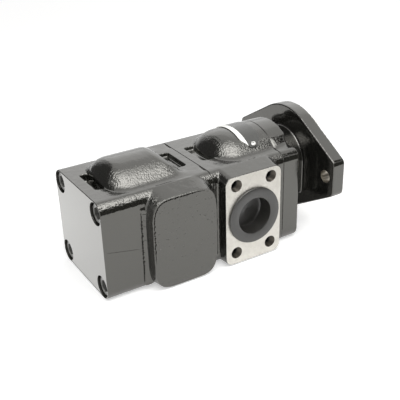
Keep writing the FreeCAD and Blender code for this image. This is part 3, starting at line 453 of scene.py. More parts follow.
# %% Cutting and casting helpers


def cut_flat(piece, point, normal, rim=0.0):
    """Mill away all that stands beyond a plane. rim is the width of the chamfer round the cut."""
    point, normal = Vector(point), Vector(normal)
    only(piece)
    bpy.ops.object.mode_set(mode="EDIT")
    bpy.ops.mesh.select_all(action="SELECT")
    bpy.ops.mesh.bisect(plane_co=point * MM, plane_no=normal, threshold=1e-6, clear_outer=True)
    if rim:
        bpy.ops.mesh.remove_doubles(threshold=0.3 * MM)
        mesh = bmesh.from_edit_mesh(piece.data)
        for vertex in mesh.verts:
            depth = (point - vertex.co / MM).dot(normal)
            if depth < 3 * rim:
                vertex.co -= normal * (rim - depth / 3) * MM
        bmesh.update_edit_mesh(piece.data)
    bpy.ops.mesh.edge_face_add()
    if rim:
        bpy.ops.mesh.inset(thickness=rim * MM, depth=rim * MM)
    bpy.ops.object.mode_set(mode="OBJECT")
    return piece


def combine(piece, tool, operation="DIFFERENCE"):
    """Cut the tool out of the piece, or add it."""
    only(piece)
    boolean = piece.modifiers.new("machining", "BOOLEAN")
    boolean.operation = operation
    boolean.solver = "MANIFOLD"
    boolean.object = tool
    bpy.ops.object.modifier_apply(modifier=boolean.name)
    bpy.data.objects.remove(tool)
    return piece


def cast_skin(piece):
    """Turn joined forms into one skin and round its corners as sand does."""
    only(piece)
    remesh = piece.modifiers.new("one_skin", "REMESH")
    remesh.mode = "VOXEL"
    remesh.voxel_size = VOXEL_MM * MM
    bpy.ops.object.modifier_apply(modifier=remesh.name)
    soften = piece.modifiers.new("soft_corners", "SMOOTH")
    soften.factor = 0.5
    soften.iterations = SKIN_PASSES
    bpy.ops.object.modifier_apply(modifier=soften.name)
    return piece


def sand_skin(piece, lump_mm, height_mm):
    """Push the skin in and out a little, as the sand's grains and lumps leave it."""
    sand = bpy.data.textures.new("moulding_sand", "CLOUDS")
    sand.noise_scale = lump_mm * MM
    sand.noise_depth = 1
    only(piece)
    lumps = piece.modifiers.new("sand_skin", "DISPLACE")
    lumps.texture = sand
    lumps.texture_coords = "LOCAL"
    lumps.mid_level = 0.5
    lumps.strength = height_mm * MM
    bpy.ops.object.modifier_apply(modifier=lumps.name)
    return piece


print("helpers ready, voxel", VOXEL_MM, "mm")

# %% [markdown]
# ## The rear casting
# The rear gear housing is a square block of grey iron with a round back over the driving gear,
# which slopes down towards the front. A blank boss bulges from the inlet side, where the core of
# the inlet passage runs. The block is left 3 mm too long at both ends for the milling cutter.
# Its forms could be one mesh with every corner bevelled. Joined bars and blocks keep each form
# easy to change, and the skin hides where they meet.

# %% Sizes of the castings' forms
ALLOWANCE = 3.0
BOSS_ROOT = 9.0
EDGE_RADIUS, HUMP_RADIUS = 11.5, 49.0
REAR_NOSE_START, REAR_NOSE = REAR_END + 20, 22.0
FRONT_NOSE_START, FRONT_NOSE = REAR_SPLIT + 19, 30.0
RAMP_START, RAMP_RUN, RAMP_EDGE = REAR_END + 102, 18.0, 6.0
# The blank boss: the middle of its face and of its foot as (x, z), each with its half sizes.
BLANK_OUTLINE = ((REAR_END + 84.1, MIDDLE - 2.3), (36.2, 49.7))
BLANK_FOOT = ((REAR_END + 84.1, MIDDLE + 0.6), (41.7, 53.0))
# A pocket: where it starts and ends along the shaft, and its depth, which is small over a bore.
END_POCKET = (REAR_END + 12, REAR_END + 24, 8.5)
RAMP_POCKET = (RAMP_START, RAMP_START + 12, 4.6)
FRONT_POCKET = (REAR_SPLIT + 10, REAR_SPLIT + 33, 4.6)
POCKET_HALF_WIDTH = 20
STRIP_HEIGHT = 0.9
FILLET_PASSES = 110
print("round back", HUMP_RADIUS, "mm, noses", REAR_NOSE, FRONT_NOSE, "mm")

# %% Forms that the castings are joined from


def body_block(start, end):
    """A length of the square body with its four long edges rounded."""
    block = add_block((start, -SIDE, BOTTOM), (end, SIDE, TOP))
    return round_edges(block, EDGE_RADIUS, 8, runs_along(0))


def nosed_bar(start, end, nose):
    """The round back, with its rear end rounded to a blunt nose."""
    bar = add_bar(HUMP_RADIUS, (start, 0, 0), end - start, sides=128)
    return round_edges(bar, nose, 12, lambda a, b: max(abs(a.x - start), abs(b.x - start)) < 0.01)


def pocket(start, end, depth):
    """The tool for a pocket in the top face."""
    low = (start, -POCKET_HALF_WIDTH, TOP - depth)
    tool = add_block(low, (end, POCKET_HALF_WIDTH, TOP + 30))
    return round_edges(tool, 2.5, 4, runs_along(2))


def outlet_pad(x):
    low = (x - 24, SIDE - BOSS_ROOT, MIDDLE - 35)
    pad = add_block(low, (x + 24, OUTLET_FACE + 0.8, MIDDLE + 35))
    return round_edges(pad, 8.5, 8, runs_along(1))


def blend_hump(piece, start, nose):
    """The wide hollow fillet along the foot of the round back and round its nose."""
    def near_foot(place):
        left = max(start + nose - place.x, 0)
        if left > nose or abs(place.y) < 22:
            return False
        reach = HUMP_RADIUS - nose + math.sqrt(nose ** 2 - left ** 2)
        foot = math.sqrt(max(reach ** 2 - TOP ** 2, 0))
        return -10 < abs(place.y) - foot < 5 and -1.5 < place.z - TOP < 9
    pick_vertices(piece, near_foot)
    bpy.ops.mesh.vertices_smooth(factor=0.5, repeat=FILLET_PASSES)
    bpy.ops.object.mode_set(mode="OBJECT")


print("forms: body block, nosed bar, pocket, outlet pad and the hump's fillet")

# %% The blank boss


def bulged_point(middle, half, angle):
    """A point of an outline between a square and an ellipse, as (x, z)."""
    across, up = math.cos(angle), math.sin(angle)
    reach = (abs(across) ** 5 + abs(up) ** 5) ** -0.2
    return middle[0] + half[0] * reach * across, middle[1] + half[1] * reach * up


def bulged_boss(outline, foot, face):
    """A boss on the inlet side whose four sides bulge a little and spread towards the foot."""
    (middle, half), (foot_middle, foot_half) = outline, foot
    boss = flat_disc(192, INTO_Y)
    for vertex in boss.data.vertices:
        spot = bulged_point(middle, half, math.atan2(vertex.co.z, vertex.co.x))
        vertex.co = Vector((spot[0], face, spot[1])) * MM
    move = (foot_middle[0] - middle[0], BOSS_ROOT - SIDE - face, foot_middle[1] - middle[1])
    foot_scale = (foot_half[0] / half[0], 1, foot_half[1] / half[1])
    return pull_out(boss, move, foot_scale, (foot_middle[0], 0, foot_middle[1]))


print("blank boss", [2 * h for h in BLANK_OUTLINE[1]], "mm at its face")

# %% Rear casting as it comes out of the sand
rear_back = nosed_bar(REAR_NOSE_START, RAMP_START, REAR_NOSE)
ramp_turn = math.atan2(HUMP_RADIUS - TOP, RAMP_RUN)
ramp_out = Vector((math.sin(ramp_turn), 0, math.cos(ramp_turn)))
ramp_foot = Vector((RAMP_START, 0, TOP))
cut_flat(rear_back, ramp_foot, ramp_out)
round_edges(rear_back, RAMP_EDGE, 10, lambda a, b: max(
    abs((a - ramp_foot).dot(ramp_out)), abs((b - ramp_foot).dot(ramp_out))) < 0.01)

rear_body = body_block(REAR_END - ALLOWANCE, REAR_SPLIT + ALLOWANCE)
combine(rear_body, pocket(*END_POCKET))
combine(rear_body, pocket(*RAMP_POCKET))
blank_boss = bulged_boss(BLANK_OUTLINE, BLANK_FOOT, BLANK_FACE - 0.6)
strip_start = (REAR_END + 41.6, -SIDE - STRIP_HEIGHT, MIDDLE - 48)
narrow_strip = add_block(strip_start, (REAR_END + 50, -50, MIDDLE + 38))
rear = joined([rear_body, rear_back, blank_boss, narrow_strip, outlet_pad(REAR_GEAR_X)])
cast_skin(rear)
blend_hump(rear, REAR_NOSE_START, REAR_NOSE)
sand_skin(rear, 7.0, 0.2)
print("rear casting", len(rear.data.polygons), "faces")

# %% [markdown]
# ## Machining the rear casting
# The two ends and the pads are milled flat. Then come the bores for the gears, the four long
# holes of the tie bolts with their counterbores, the outlet and the grooves for the seals. Each
# cut is a boolean with a tool of the real cutter's shape, because a cut leaves crisp edges that
# no smoothing of the skin could give.

# %% Sizes and places of the cuts
BOLT_SPOTS = [(y, MIDDLE + z) for y in (-43, 43) for z in (-40.5, 40.5)]
BOLT_HOLE, COUNTERBORE, COUNTERBORE_DEPTH = 7.5, 11.75, 16.3
GEAR_BORE, GEAR_BORE_END, CENTRE_DISTANCE = 22.5, -228.1, 38.0
PASSAGE_Y, PASSAGE_RADIUS, PASSAGE_STRAIGHT = -41.5, 7.0, 26.0
GROOVE_DEPTH, PAD_RIM = 1.8, 0.2
# A tap's radius, its pitch and its depth. A port's place, and half the spread of its four taps.
M10_TAP, M12_TAP = (5.0, 1.5, 13.5), (6.0, 1.75, 11.5)
REAR_OUTLET, FRONT_OUTLET = (REAR_GEAR_X, OUTLET_FACE, GEARS_Z), (FRONT_GEAR_X, OUTLET_FACE, GEARS_Z)
INLET = (INLET_X, INLET_FACE, MIDDLE)
OUTLET_SPREAD, INLET_SPREAD = (11.1, 23.8), (21.45, 38.9)
print("tie bolts at", BOLT_SPOTS)

# %% Tools of the cutters


def bars(radius, spots, start, length):
    """Equal round tools along X at several (y, z) spots, as one object."""
    return joined([add_bar(radius, (start, y, z), length, sides=64) for y, z in spots])


def gear_bores(piece, start, length):
    for z in (0, IDLER_Z):
        combine(piece, add_bar(GEAR_BORE, (start, 0, z), length, sides=128))


def slot_tool(radius, straight, start, length, y, z):
    """A tool with flat flanks and round ends, across X."""
    tool = add_bar(radius, (start, y, z + straight / 2), length)
    combine(tool, add_bar(radius, (start, y, z - straight / 2), length), "UNION")
    low = (start, y - radius, z - straight / 2)
    middle = add_block(low, (start + length, y + radius, z + straight / 2))
    return combine(tool, middle, "UNION")


def seal_groove(inner, width, straight, split, y, z):
    """The tool for the groove of a seal ring in the face at a split."""
    start, length = split - GROOVE_DEPTH, GROOVE_DEPTH + 1
    ring = slot_tool(inner + width, straight, start, length, y, z)
    return combine(ring, slot_tool(inner, straight, start - 1, length + 2, y, z))


def pins(piece, split):
    """The two dowel holes that both castings at a split share."""
    combine(piece, bars(4.0, [(46, MIDDLE - 17.5), (46, MIDDLE + 17.5)], split - 8, 16))


print("tools: bars, gear bores, slots, seal grooves and dowel holes")

# %% Turned shapes and tapped holes


def turned(profile, place, turn=(0, 0, 0), sides=48):
    """A turned shape: a disc pulled along its axis and scaled, profile holding (height, radius)."""
    bpy.ops.object.select_all(action="DESELECT")
    height, radius = profile[0]
    bpy.ops.mesh.primitive_circle_add(
        vertices=sides, radius=radius * MM, fill_type="NGON", location=(0, 0, height * MM),
    )
    piece = settle(bpy.context.object)
    bpy.ops.object.mode_set(mode="EDIT")
    bpy.ops.mesh.select_all(action="SELECT")
    for next_height, next_radius in profile[1:]:
        bpy.ops.mesh.extrude_region_move(
            TRANSFORM_OT_translate={"value": (0, 0, (next_height - height) * MM)},
        )
        share = next_radius / radius
        bpy.ops.transform.resize(value=(share, share, 1), center_override=(0, 0, next_height * MM))
        height, radius = next_height, next_radius
    bpy.ops.mesh.select_all(action="SELECT")
    bpy.ops.mesh.normals_make_consistent(inside=False)
    bpy.ops.object.mode_set(mode="OBJECT")
    piece.location = Vector(place) * MM
    piece.rotation_euler = turn
    return settle(piece)


def tap(radius, pitch, depth, place, turn):
    """The tool for a tapped hole: a countersunk mouth, then one ring for each turn of thread."""
    root = radius - 0.55 * pitch
    profile = [(-1, radius + 0.6), (0, radius + 0.6), (0.6, radius)]
    for ring in range(int((depth - 1.5) / pitch)):
        start = 0.6 + ring * pitch
        profile += [(start + 0.1, radius), (start + pitch / 2, root), (start + pitch - 0.1, radius)]
    profile += [(depth, root), (depth + radius / 2, 0.4)]
    return turned(profile, place, turn)


def tap_port(piece, size, port, spread, turn):
    """Tap the four holes round a port."""
    x, face, z = port
    combine(piece, joined([
        tap(*size, (x + i * spread[0], face, z + j * spread[1]), turn)
        for i in (-1, 1) for j in (-1, 1)
    ]))


def outlet(piece, port):
    """The pressure outlet: a flat pad, a bore into the gears and four tapped holes."""
    x, face, z = port
    cut_flat(piece, (0, face, 0), (0, 1, 0), PAD_RIM)
    combine(piece, add_bar(9.5, (x, face - 36, z), 37, "Y"))
    combine(piece, add_bar(8.0, (x, 0, z), face, "Y"))
    tap_port(piece, M10_TAP, port, OUTLET_SPREAD, OUT_OF_Y)


print("M10 holes", M10_TAP[2], "mm deep, M12 holes", M12_TAP[2], "mm deep")

# %% [markdown]
# ## Burrs and mould lines
# Where two halves of the mould met, and where a pad was ground, a casting keeps thin ragged lines.
# On black gloss they read as broken dark threads, and they tell the eye that this is iron and not
# plastic. They could be drawn in the material, but a mesh without its material would lose them,
# so each is a shallow slot whose two edges wander. Its seed keeps it the same on each run.

# %% Ragged slots


def ragged_slot(path, width, face, depth, seed):
    """A narrow slot across Y along a path of (x, z) points, with ragged edges."""
    chance = random.Random(seed)
    steps = len(path) - 1
    edges = ([], [])
    for k, (x, z) in enumerate(path):
        before, after = path[max(k - 1, 0)], path[min(k + 1, steps)]
        along = Vector((after[0] - before[0], after[1] - before[1])).normalized()
        taper = min(1.0, 0.15 + 6 * k / steps, 0.15 + 6 * (1 - k / steps))
        for edge, side in zip(edges, (1, -1)):
            reach = side * taper * width * (0.2 + 0.7 * chance.random() ** 2)
            edge.append((x - along.y * reach, z + along.x * reach))
    outline = edges[0] + edges[1][::-1]
    tool = flat_disc(len(outline), INTO_Y)
    for vertex, (x, z) in zip(tool.data.vertices, outline):
        vertex.co = Vector((x, face - 1, z)) * MM
    return pull_out(tool, (0, depth + 1, 0))


def straight_path(start, end, steps):
    """Points from start to end, given as (x from the rear end, z)."""
    across, up = end[0] - start[0], end[1] - start[1]
    return [
        (REAR_END + start[0] + across * k / steps, start[1] + up * k / steps)
        for k in range(steps + 1)
    ]


def blank_rim_path(inset):
    """The blank boss's outline from its left side over its top, that far inside its edge."""
    middle, half = BLANK_OUTLINE
    return [
        bulged_point(middle, [h - inset for h in half], math.radians(200 - k)) for k in range(145)
    ]


print("burr along the blank boss:", len(blank_rim_path(1.4)), "points")

# %% The rear casting's milled faces and its burrs
cut_flat(rear, (REAR_END, 0, 0), (-1, 0, 0), RIM)
cut_flat(rear, (REAR_SPLIT, 0, 0), (1, 0, 0), RIM)
cut_flat(rear, (0, BLANK_FACE, 0), (0, -1, 0))
combine(rear, ragged_slot(blank_rim_path(1.4), 1.6, BLANK_FACE, 1.2, 3))
combine(rear, ragged_slot(straight_path((41.4, 12), (40.6, -66), 90), 1.9, -SIDE, 1.0, 5))
for z, seed in ((10.5, 6), (3.5, 7), (-3.0, 8), (-18.0, 9)):
    mark = straight_path((42.5, z), (47.5, z - 1), 10)
    combine(rear, ragged_slot(mark, 0.5, -SIDE - STRIP_HEIGHT, 0.7, seed))
combine(rear, ragged_slot(straight_path((3, -20), (38, -27), 50), 0.5, -SIDE, 0.3, 10))
print("rear casting milled,", len(rear.data.polygons), "faces")

# %% The rear housing's bores, holes and grooves
rear_core = REAR_GEAR_X - 12.5
gear_bores(rear, GEAR_BORE_END, REAR_SPLIT + 1 - GEAR_BORE_END)
core_length = REAR_SPLIT + 1 - rear_core
combine(rear, slot_tool(PASSAGE_RADIUS, PASSAGE_STRAIGHT, rear_core, core_length, PASSAGE_Y, MIDDLE))
combine(rear, add_block((rear_core, PASSAGE_Y, GEARS_Z - 13), (rear_core + 25, 0, GEARS_Z + 13)))
combine(rear, bars(BOLT_HOLE, BOLT_SPOTS, REAR_END - 1, REAR_SPLIT - REAR_END + 2))
combine(rear, bars(COUNTERBORE, BOLT_SPOTS, REAR_END - 1, COUNTERBORE_DEPTH + 1))
combine(rear, seal_groove(26.5, 2.4, CENTRE_DISTANCE, REAR_SPLIT, 0, GEARS_Z))
combine(rear, seal_groove(8.2, 1.8, PASSAGE_STRAIGHT, REAR_SPLIT, PASSAGE_Y, MIDDLE))
pins(rear, REAR_SPLIT)
outlet(rear, REAR_OUTLET)
print("rear housing", len(rear.data.polygons), "faces")

# %% [markdown]
# ## The front casting
# The front housing is shorter. Its round back runs to the front end, and the boss on its side
# carries the one inlet that feeds both sections. It is made as the rear one was, with the same
# tools, as the foundry and the machine shop would make it.

# %% Front casting


def side_boss(start, end, low, high, draft, face, corner):
    """A boss on the inlet side: its ends and its top spread towards the foot."""
    boss = add_block((start, face, low), (end, BOSS_ROOT - SIDE, high))
    pick_vertices(boss, lambda place: place.y > face + 1 and place.z > high - 1)
    bpy.ops.transform.translate(value=(0, 0, (TOP - high) * MM))
    for at, move in ((start, -draft), (end, draft)):
        pick_vertices(boss, lambda place: place.y > face + 1 and abs(place.x - at) < 1)
        bpy.ops.transform.translate(value=(move * MM, 0, 0))
    bpy.ops.object.mode_set(mode="OBJECT")
    return round_edges(boss, corner, 8, lambda a, b: abs(a.y - b.y) > 1)


front_body = body_block(REAR_SPLIT - ALLOWANCE, FRONT_SPLIT + ALLOWANCE)
combine(front_body, pocket(*FRONT_POCKET))
front_back = nosed_bar(FRONT_NOSE_START, FRONT_SPLIT + ALLOWANCE, FRONT_NOSE)
inlet_boss = side_boss(
    INLET_X - 34.5, INLET_X + 34.5, MIDDLE - 52, MIDDLE + 49, 2.0, INLET_FACE - 0.8, 8.5,
)
front = joined([front_body, front_back, inlet_boss, outlet_pad(FRONT_GEAR_X)])
cast_skin(front)
blend_hump(front, FRONT_NOSE_START, FRONT_NOSE)
sand_skin(front, 7.0, 0.2)
print("front casting", len(front.data.polygons), "faces")

# %% Machining the front casting
INLET_BORE, INLET_BORE_DEPTH, INLET_THROAT = 25.4, 24, 16.0
front_length = FRONT_SPLIT - REAR_SPLIT
cut_flat(front, (REAR_SPLIT, 0, 0), (-1, 0, 0), RIM)
cut_flat(front, (FRONT_SPLIT, 0, 0), (1, 0, 0), RIM)
cut_flat(front, (0, INLET_FACE, 0), (0, -1, 0), PAD_RIM)
gear_bores(front, REAR_SPLIT - 1, front_length + 2)
combine(front, add_bar(INLET_BORE, (INLET_X, INLET_FACE - 1, MIDDLE), INLET_BORE_DEPTH + 1, "Y", 128))
combine(front, add_bar(INLET_THROAT, (INLET_X, INLET_FACE - 1, MIDDLE), 1 - INLET_FACE, "Y"))
tap_port(front, M12_TAP, INLET, INLET_SPREAD, INTO_Y)
combine(front, slot_tool(PASSAGE_RADIUS, PASSAGE_STRAIGHT, REAR_SPLIT - 1, 43, PASSAGE_Y, MIDDLE))
combine(front, bars(BOLT_HOLE, BOLT_SPOTS, REAR_SPLIT - 1, front_length + 2))
combine(front, seal_groove(26.5, 2.4, CENTRE_DISTANCE, FRONT_SPLIT, 0, GEARS_Z))
pins(front, REAR_SPLIT)
pins(front, FRONT_SPLIT)
outlet(front, FRONT_OUTLET)
print("front housing", len(front.data.polygons), "faces")

# %% [markdown]
# ## The mounting cover
# The cover closes the gear bores, carries the bolts' threads and ends in the two-bolt flange.
# The flange's outline is a flat circle of six corners, moved to their places and rounded, then
# pulled out to its thickness. Straight sides that run into a true arc are what makes a flange
# of this kind look right, and a scaled disc could not give them.

# %% Sizes of the cover
EAR_Y, EAR_Z, EAR_RADIUS, FLANGE_ARC = 86.0, 19.2, 7.0, 60.0
EAR_BOLT_Y, EAR_BOLT_HOLE = 73, 7.15
NECK_RADIUS, NECK_FOOT = 35.0, -34.6
PILOT_RADIUS, PILOT_HEIGHT = 50.8, 9.5
SHAFT_HOLE, SEAL_BORE, RING_GROOVE, BOLT_THREAD = 12.5, 20.0, 21.6, 7.05
SEAL_START, RING_START, RING_WIDTH, THREAD_DEPTH = -10.5, 5.5, 1.5, 18.9
# The flange's face is milled that far below the sand's skin, round the pilot.
FACE_CUT = 0.3
print("flange", 2 * EAR_Y, "mm wide, bolts", 2 * EAR_BOLT_Y, "mm apart")

# %% Flange


def flange_outline(ear_y, ear_z, arc):
    """A flat six-cornered outline whose top and bottom run into an arc about the shaft."""
    reach = math.hypot(ear_y, ear_z)
    tangent = math.sqrt(reach ** 2 - arc ** 2)
    peak = arc * reach ** 2 / (ear_z * arc + ear_y * tangent)
    plate = flat_disc(6, TURN["X"])
    corners = [
        (0, peak), (ear_y, ear_z), (ear_y, -ear_z), (0, -peak), (-ear_y, -ear_z), (-ear_y, ear_z),
    ]
    around = sorted(plate.data.vertices, key=lambda v: math.atan2(v.co.y, v.co.z))
    corners.sort(key=lambda c: math.atan2(c[0], c[1]))
    for vertex, (y, z) in zip(around, corners):
        vertex.co = Vector((FLANGE_BACK, y, z)) * MM
    slope = math.atan2(peak - ear_z, ear_y)
    for at_peak, radius, turn in ((True, arc, 2 * slope), (False, EAR_RADIUS, math.pi / 2 - slope)):
        pick_vertices(plate, lambda place: (abs(place.y) < 1) == at_peak and (
            at_peak or abs(abs(place.y) - ear_y) < 0.01))
        bpy.ops.mesh.bevel(
            offset=radius * math.tan(turn / 2) * MM, segments=20, affect="VERTICES",
            clamp_overlap=False,
        )
        bpy.ops.object.mode_set(mode="OBJECT")
    for vertex in plate.data.vertices:
        if abs(vertex.co.y) < (arc * math.sin(slope) + 0.1) * MM:
            vertex.co *= Vector((1, arc * MM / vertex.co.yz.length, arc * MM / vertex.co.yz.length))
    return pull_out(plate, (-FLANGE_BACK, 0, 0))


print("the flange is", -FLANGE_BACK, "mm thick")

# %% Cover casting
neck_foot = add_block((COVER_FACE - 2, -NECK_RADIUS, NECK_FOOT), (FLANGE_BACK + 2, NECK_RADIUS, 0))
round_edges(neck_foot, 4.0, 4, lambda a, b: runs_along(0)(a, b) and a.z < -30)
cover_start = FRONT_SPLIT - ALLOWANCE
cover = joined([
    body_block(cover_start, COVER_FACE),
    add_bar(HUMP_RADIUS, (cover_start, 0, 0), COVER_FACE - cover_start, sides=128),
    add_bar(NECK_RADIUS, (COVER_FACE - 2, 0, 0), FLANGE_BACK - COVER_FACE + 4, sides=128),
    neck_foot,
    flange_outline(EAR_Y, EAR_Z, FLANGE_ARC),
])
cast_skin(cover)
# The cover's round back has no nose. A start far behind it fillets the foot along its whole length.
blend_hump(cover, FRONT_SPLIT - 40, FRONT_NOSE)
sand_skin(cover, 7.0, 0.1)
print("cover casting", len(cover.data.polygons), "faces")

# %% Machining the cover
cut_flat(cover, (FRONT_SPLIT, 0, 0), (-1, 0, 0), RIM)
cut_flat(cover, (-FACE_CUT, 0, 0), (1, 0, 0))
pilot = add_bar(PILOT_RADIUS, (-1, 0, 0), PILOT_HEIGHT + 1, sides=160)
round_edges(pilot, 1.0, 1, lambda a, b: min(a.x, b.x) > 9)
combine(cover, pilot, "UNION")
combine(cover, add_bar(SHAFT_HOLE, (FRONT_SPLIT - 1, 0, 0), 70))
combine(cover, add_bar(SEAL_BORE, (SEAL_START, 0, 0), PILOT_HEIGHT + 1 - SEAL_START))
combine(cover, add_bar(RING_GROOVE, (RING_START, 0, 0), RING_WIDTH))
combine(cover, bars(EAR_BOLT_HOLE, [(-EAR_BOLT_Y, 0), (EAR_BOLT_Y, 0)], FLANGE_BACK - 3, 20))
combine(cover, bars(BOLT_THREAD, BOLT_SPOTS, FRONT_SPLIT - 1, THREAD_DEPTH + 1))
pins(cover, FRONT_SPLIT)
print("mounting cover", len(cover.data.polygons), "faces")

# %% [markdown]
# ## What is painted and what is bare
# The pump was painted after machining, with its ports and its mounting face masked. So the rear
# end is smooth enamel, the pads round the ports are bare milled iron, and the bores are bare. A
# mask could be an image laid over each casting. Here a face's own place decides, because every
# border of the paint lies on an edge that a cutter left.

# %% Tests for a face's place


def near(value, target, slack=0.05):
    return abs(value - target) < slack


def finish_faces(piece, material, test):
    """Give a material to the faces whose centre, in millimetres, and normal pass the test."""
    slots = piece.data.materials
    if material.name not in slots:
        slots.append(material)
    index = list(slots).index(material)
    count = 0
    for face in piece.data.polygons:
        if test(face.center / MM, face.normal):
            face.material_index = index
            count += 1
    print(piece.name, material.name, count, "faces")


def in_gear_bore(place):
    return place.x > GEAR_BORE_END - 0.1 and abs(place.y) < GEAR_BORE + 0.5 and any(
        math.hypot(place.y, place.z - z) < GEAR_BORE + 0.3 for z in (0, IDLER_Z)
    )


def bare_inside(place, normal):
    """The ends that meet another casting, the gears' bores and the outlets' pads."""
    on_split = any(near(place.x, split) for split in (REAR_SPLIT, FRONT_SPLIT)) and abs(normal.x) > 0.9
    return on_split or in_gear_bore(place) or near(place.y, OUTLET_FACE)


def in_inlet_bore(place, normal):
    from_axis = math.hypot(place.x - INLET_X, place.z - MIDDLE)
    return place.y < INLET_FACE + INLET_BORE_DEPTH + 1 and near(from_axis, INLET_BORE, 0.2)


def in_pocket(place, normal):
    """Inside a pocket of the top faces, where the enamel pooled and hid the sand's grit."""
    return abs(place.y) < POCKET_HALF_WIDTH + 1 and TOP - 9.5 < place.z < TOP - 0.8 and any(
        start - 1 < place.x < end + 1 for start, end, depth in (END_POCKET, RAMP_POCKET, FRONT_POCKET)
    )


def in_taps(port, spread, radius, depth):
    """Inside one of a port's four tapped holes, at least that deep below the port's face."""
    def test(place, normal):
        x, face, z = port
        below = abs(face) - place.y * math.copysign(1, face)
        return depth < below < 25 and any(
            math.hypot(place.x - x - i * spread[0], place.z - z - j * spread[1]) < radius + 0.7
            for i in (-1, 1) for j in (-1, 1)
        )
    return test


print("tests ready: splits, bores, pockets and taps")

# %% Names, bodies and the paint all over
for piece, node, paint in (
    (rear, "rear_housing", cast_enamel), (front, "front_housing", cast_enamel),
    (cover, "mounting_cover", cover_enamel),
):
    piece.name = node + "_casting"
    only(piece)
    bpy.ops.object.shade_smooth_by_angle(angle=SMOOTH_ANGLE)
    piece.data.materials.clear()
    piece.data.materials.append(paint)
    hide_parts(node)
    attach(piece, "housing")
print("painted", rear.name, front.name, cover.name)

# %% Bare, smooth and threaded faces
# Painted shade in a tapped hole: its threads are coloured dark iron near the mouth, and near black
# further down, where less light reaches.
TAP_MOUTH, PAINTED_SHADE_DEPTH = 0.05, 8.0
finish_faces(rear, smooth_enamel, lambda place, normal: near(place.x, REAR_END) and normal.x < -0.9)
finish_faces(rear, smooth_enamel, in_pocket)
finish_faces(front, smooth_enamel, in_pocket)
finish_faces(rear, machined_iron, bare_inside)
finish_faces(rear, flat_enamel, lambda place, normal: near(place.y, BLANK_FACE) and normal.y < -0.9)
for finish, depth in ((threaded_iron_painted_shade, TAP_MOUTH), (iron_painted_shade_deep_in_holes, PAINTED_SHADE_DEPTH)):
    finish_faces(rear, finish, in_taps(REAR_OUTLET, OUTLET_SPREAD, M10_TAP[0], depth))
finish_faces(front, machined_iron, bare_inside)
finish_faces(front, machined_iron, in_inlet_bore)
finish_faces(front, milled_iron, lambda place, normal: near(place.y, INLET_FACE))
for finish, depth in ((threaded_iron_painted_shade, TAP_MOUTH), (iron_painted_shade_deep_in_holes, PAINTED_SHADE_DEPTH)):
    finish_faces(front, finish, in_taps(INLET, INLET_SPREAD, M12_TAP[0], depth))
    finish_faces(front, finish, in_taps(FRONT_OUTLET, OUTLET_SPREAD, M10_TAP[0], depth))
finish_faces(cover, machined_iron, lambda place, normal: (
    near(place.x, FRONT_SPLIT) or (place.x > -0.5 and normal.x > 0.9) or place.x > 0
))
finish_faces(cover, drilled_iron, lambda place, normal: (
    place.x < -0.5 and math.hypot(abs(place.y) - EAR_BOLT_Y, place.z) < EAR_BOLT_HOLE + 0.05
))

# %% [markdown]
# ## The inlet's plug
# The shipping plug is a moulded cup with a flat rim, pushed into the inlet's bore. It is turned
# from one profile: out along the back of the cup, over the ribs that grip the bore, round the rim
# and down into the cup again. Its edges are soft, as polyethylene comes from the mould.

# %% Plug
PLUG_RIM, PLUG_CUP, PLUG_STEM, RIM_HEIGHT = 31.0, 20.0, 24.6, 2.5
plug_profile = [(-18.0, 0.4), (-18.0, 22.6), (-16.8, 23.8)]
for rib in range(5):
    rib_start = -15.5 + 2.6 * rib
    plug_profile += [(rib_start, 24.0), (rib_start + 0.4, PLUG_STEM), (rib_start + 0.9, PLUG_STEM),
                     (rib_start + 1.3, 24.0)]
plug_profile += [
    (0.02, 24.0), (0.02, PLUG_RIM - 0.5), (0.5, PLUG_RIM), (RIM_HEIGHT - 0.6, PLUG_RIM),
    (RIM_HEIGHT - 0.2, PLUG_RIM - 0.25), (RIM_HEIGHT, PLUG_RIM - 0.7), (RIM_HEIGHT, PLUG_CUP + 0.8),
    (RIM_HEIGHT - 0.3, PLUG_CUP + 0.2), (RIM_HEIGHT - 0.9, PLUG_CUP), (-13.0, PLUG_CUP - 0.6),
    (-14.2, PLUG_CUP - 1.0), (-15.0, PLUG_CUP - 2.2), (-15.2, PLUG_CUP - 3.6), (-15.2, 1.2),
    (-14.9, 0.4),
]
plug = turned(plug_profile, (INLET_X, INLET_FACE, MIDDLE), (math.pi / 2, 0, 0), 96)
plug.name = "moulded_inlet_plug"
plug.data.materials.append(plug_plastic)
only(plug)
bpy.ops.object.shade_smooth_by_angle(angle=SMOOTH_ANGLE)
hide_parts("inlet_plug")
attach(plug, "plug")
print("plug", len(plug.data.polygons), "faces")

# %% [markdown]
# ## The nameplate and its rivets
# A printed aluminium plate is rolled over the front housing's back and held by two rivets. A
# strip along its rear edge is bare metal and the rest is printed black. The plate could be a flat
# sheet bent round the casting. It is cut from a thin tube with a prism of its own outline, because
# then its curve is exactly the casting's.

# %% Nameplate
PLATE_START, PLATE_END, PLATE_STRIP, RIVET_X = -92.2, -67.4, 6.0, -79.8
PLATE_INSIDE, PLATE_OUTSIDE = 49.1, 49.9
PLATE_HALF, TAB_HALF, TAB_REACH = 23.4, 4.5, 33.4


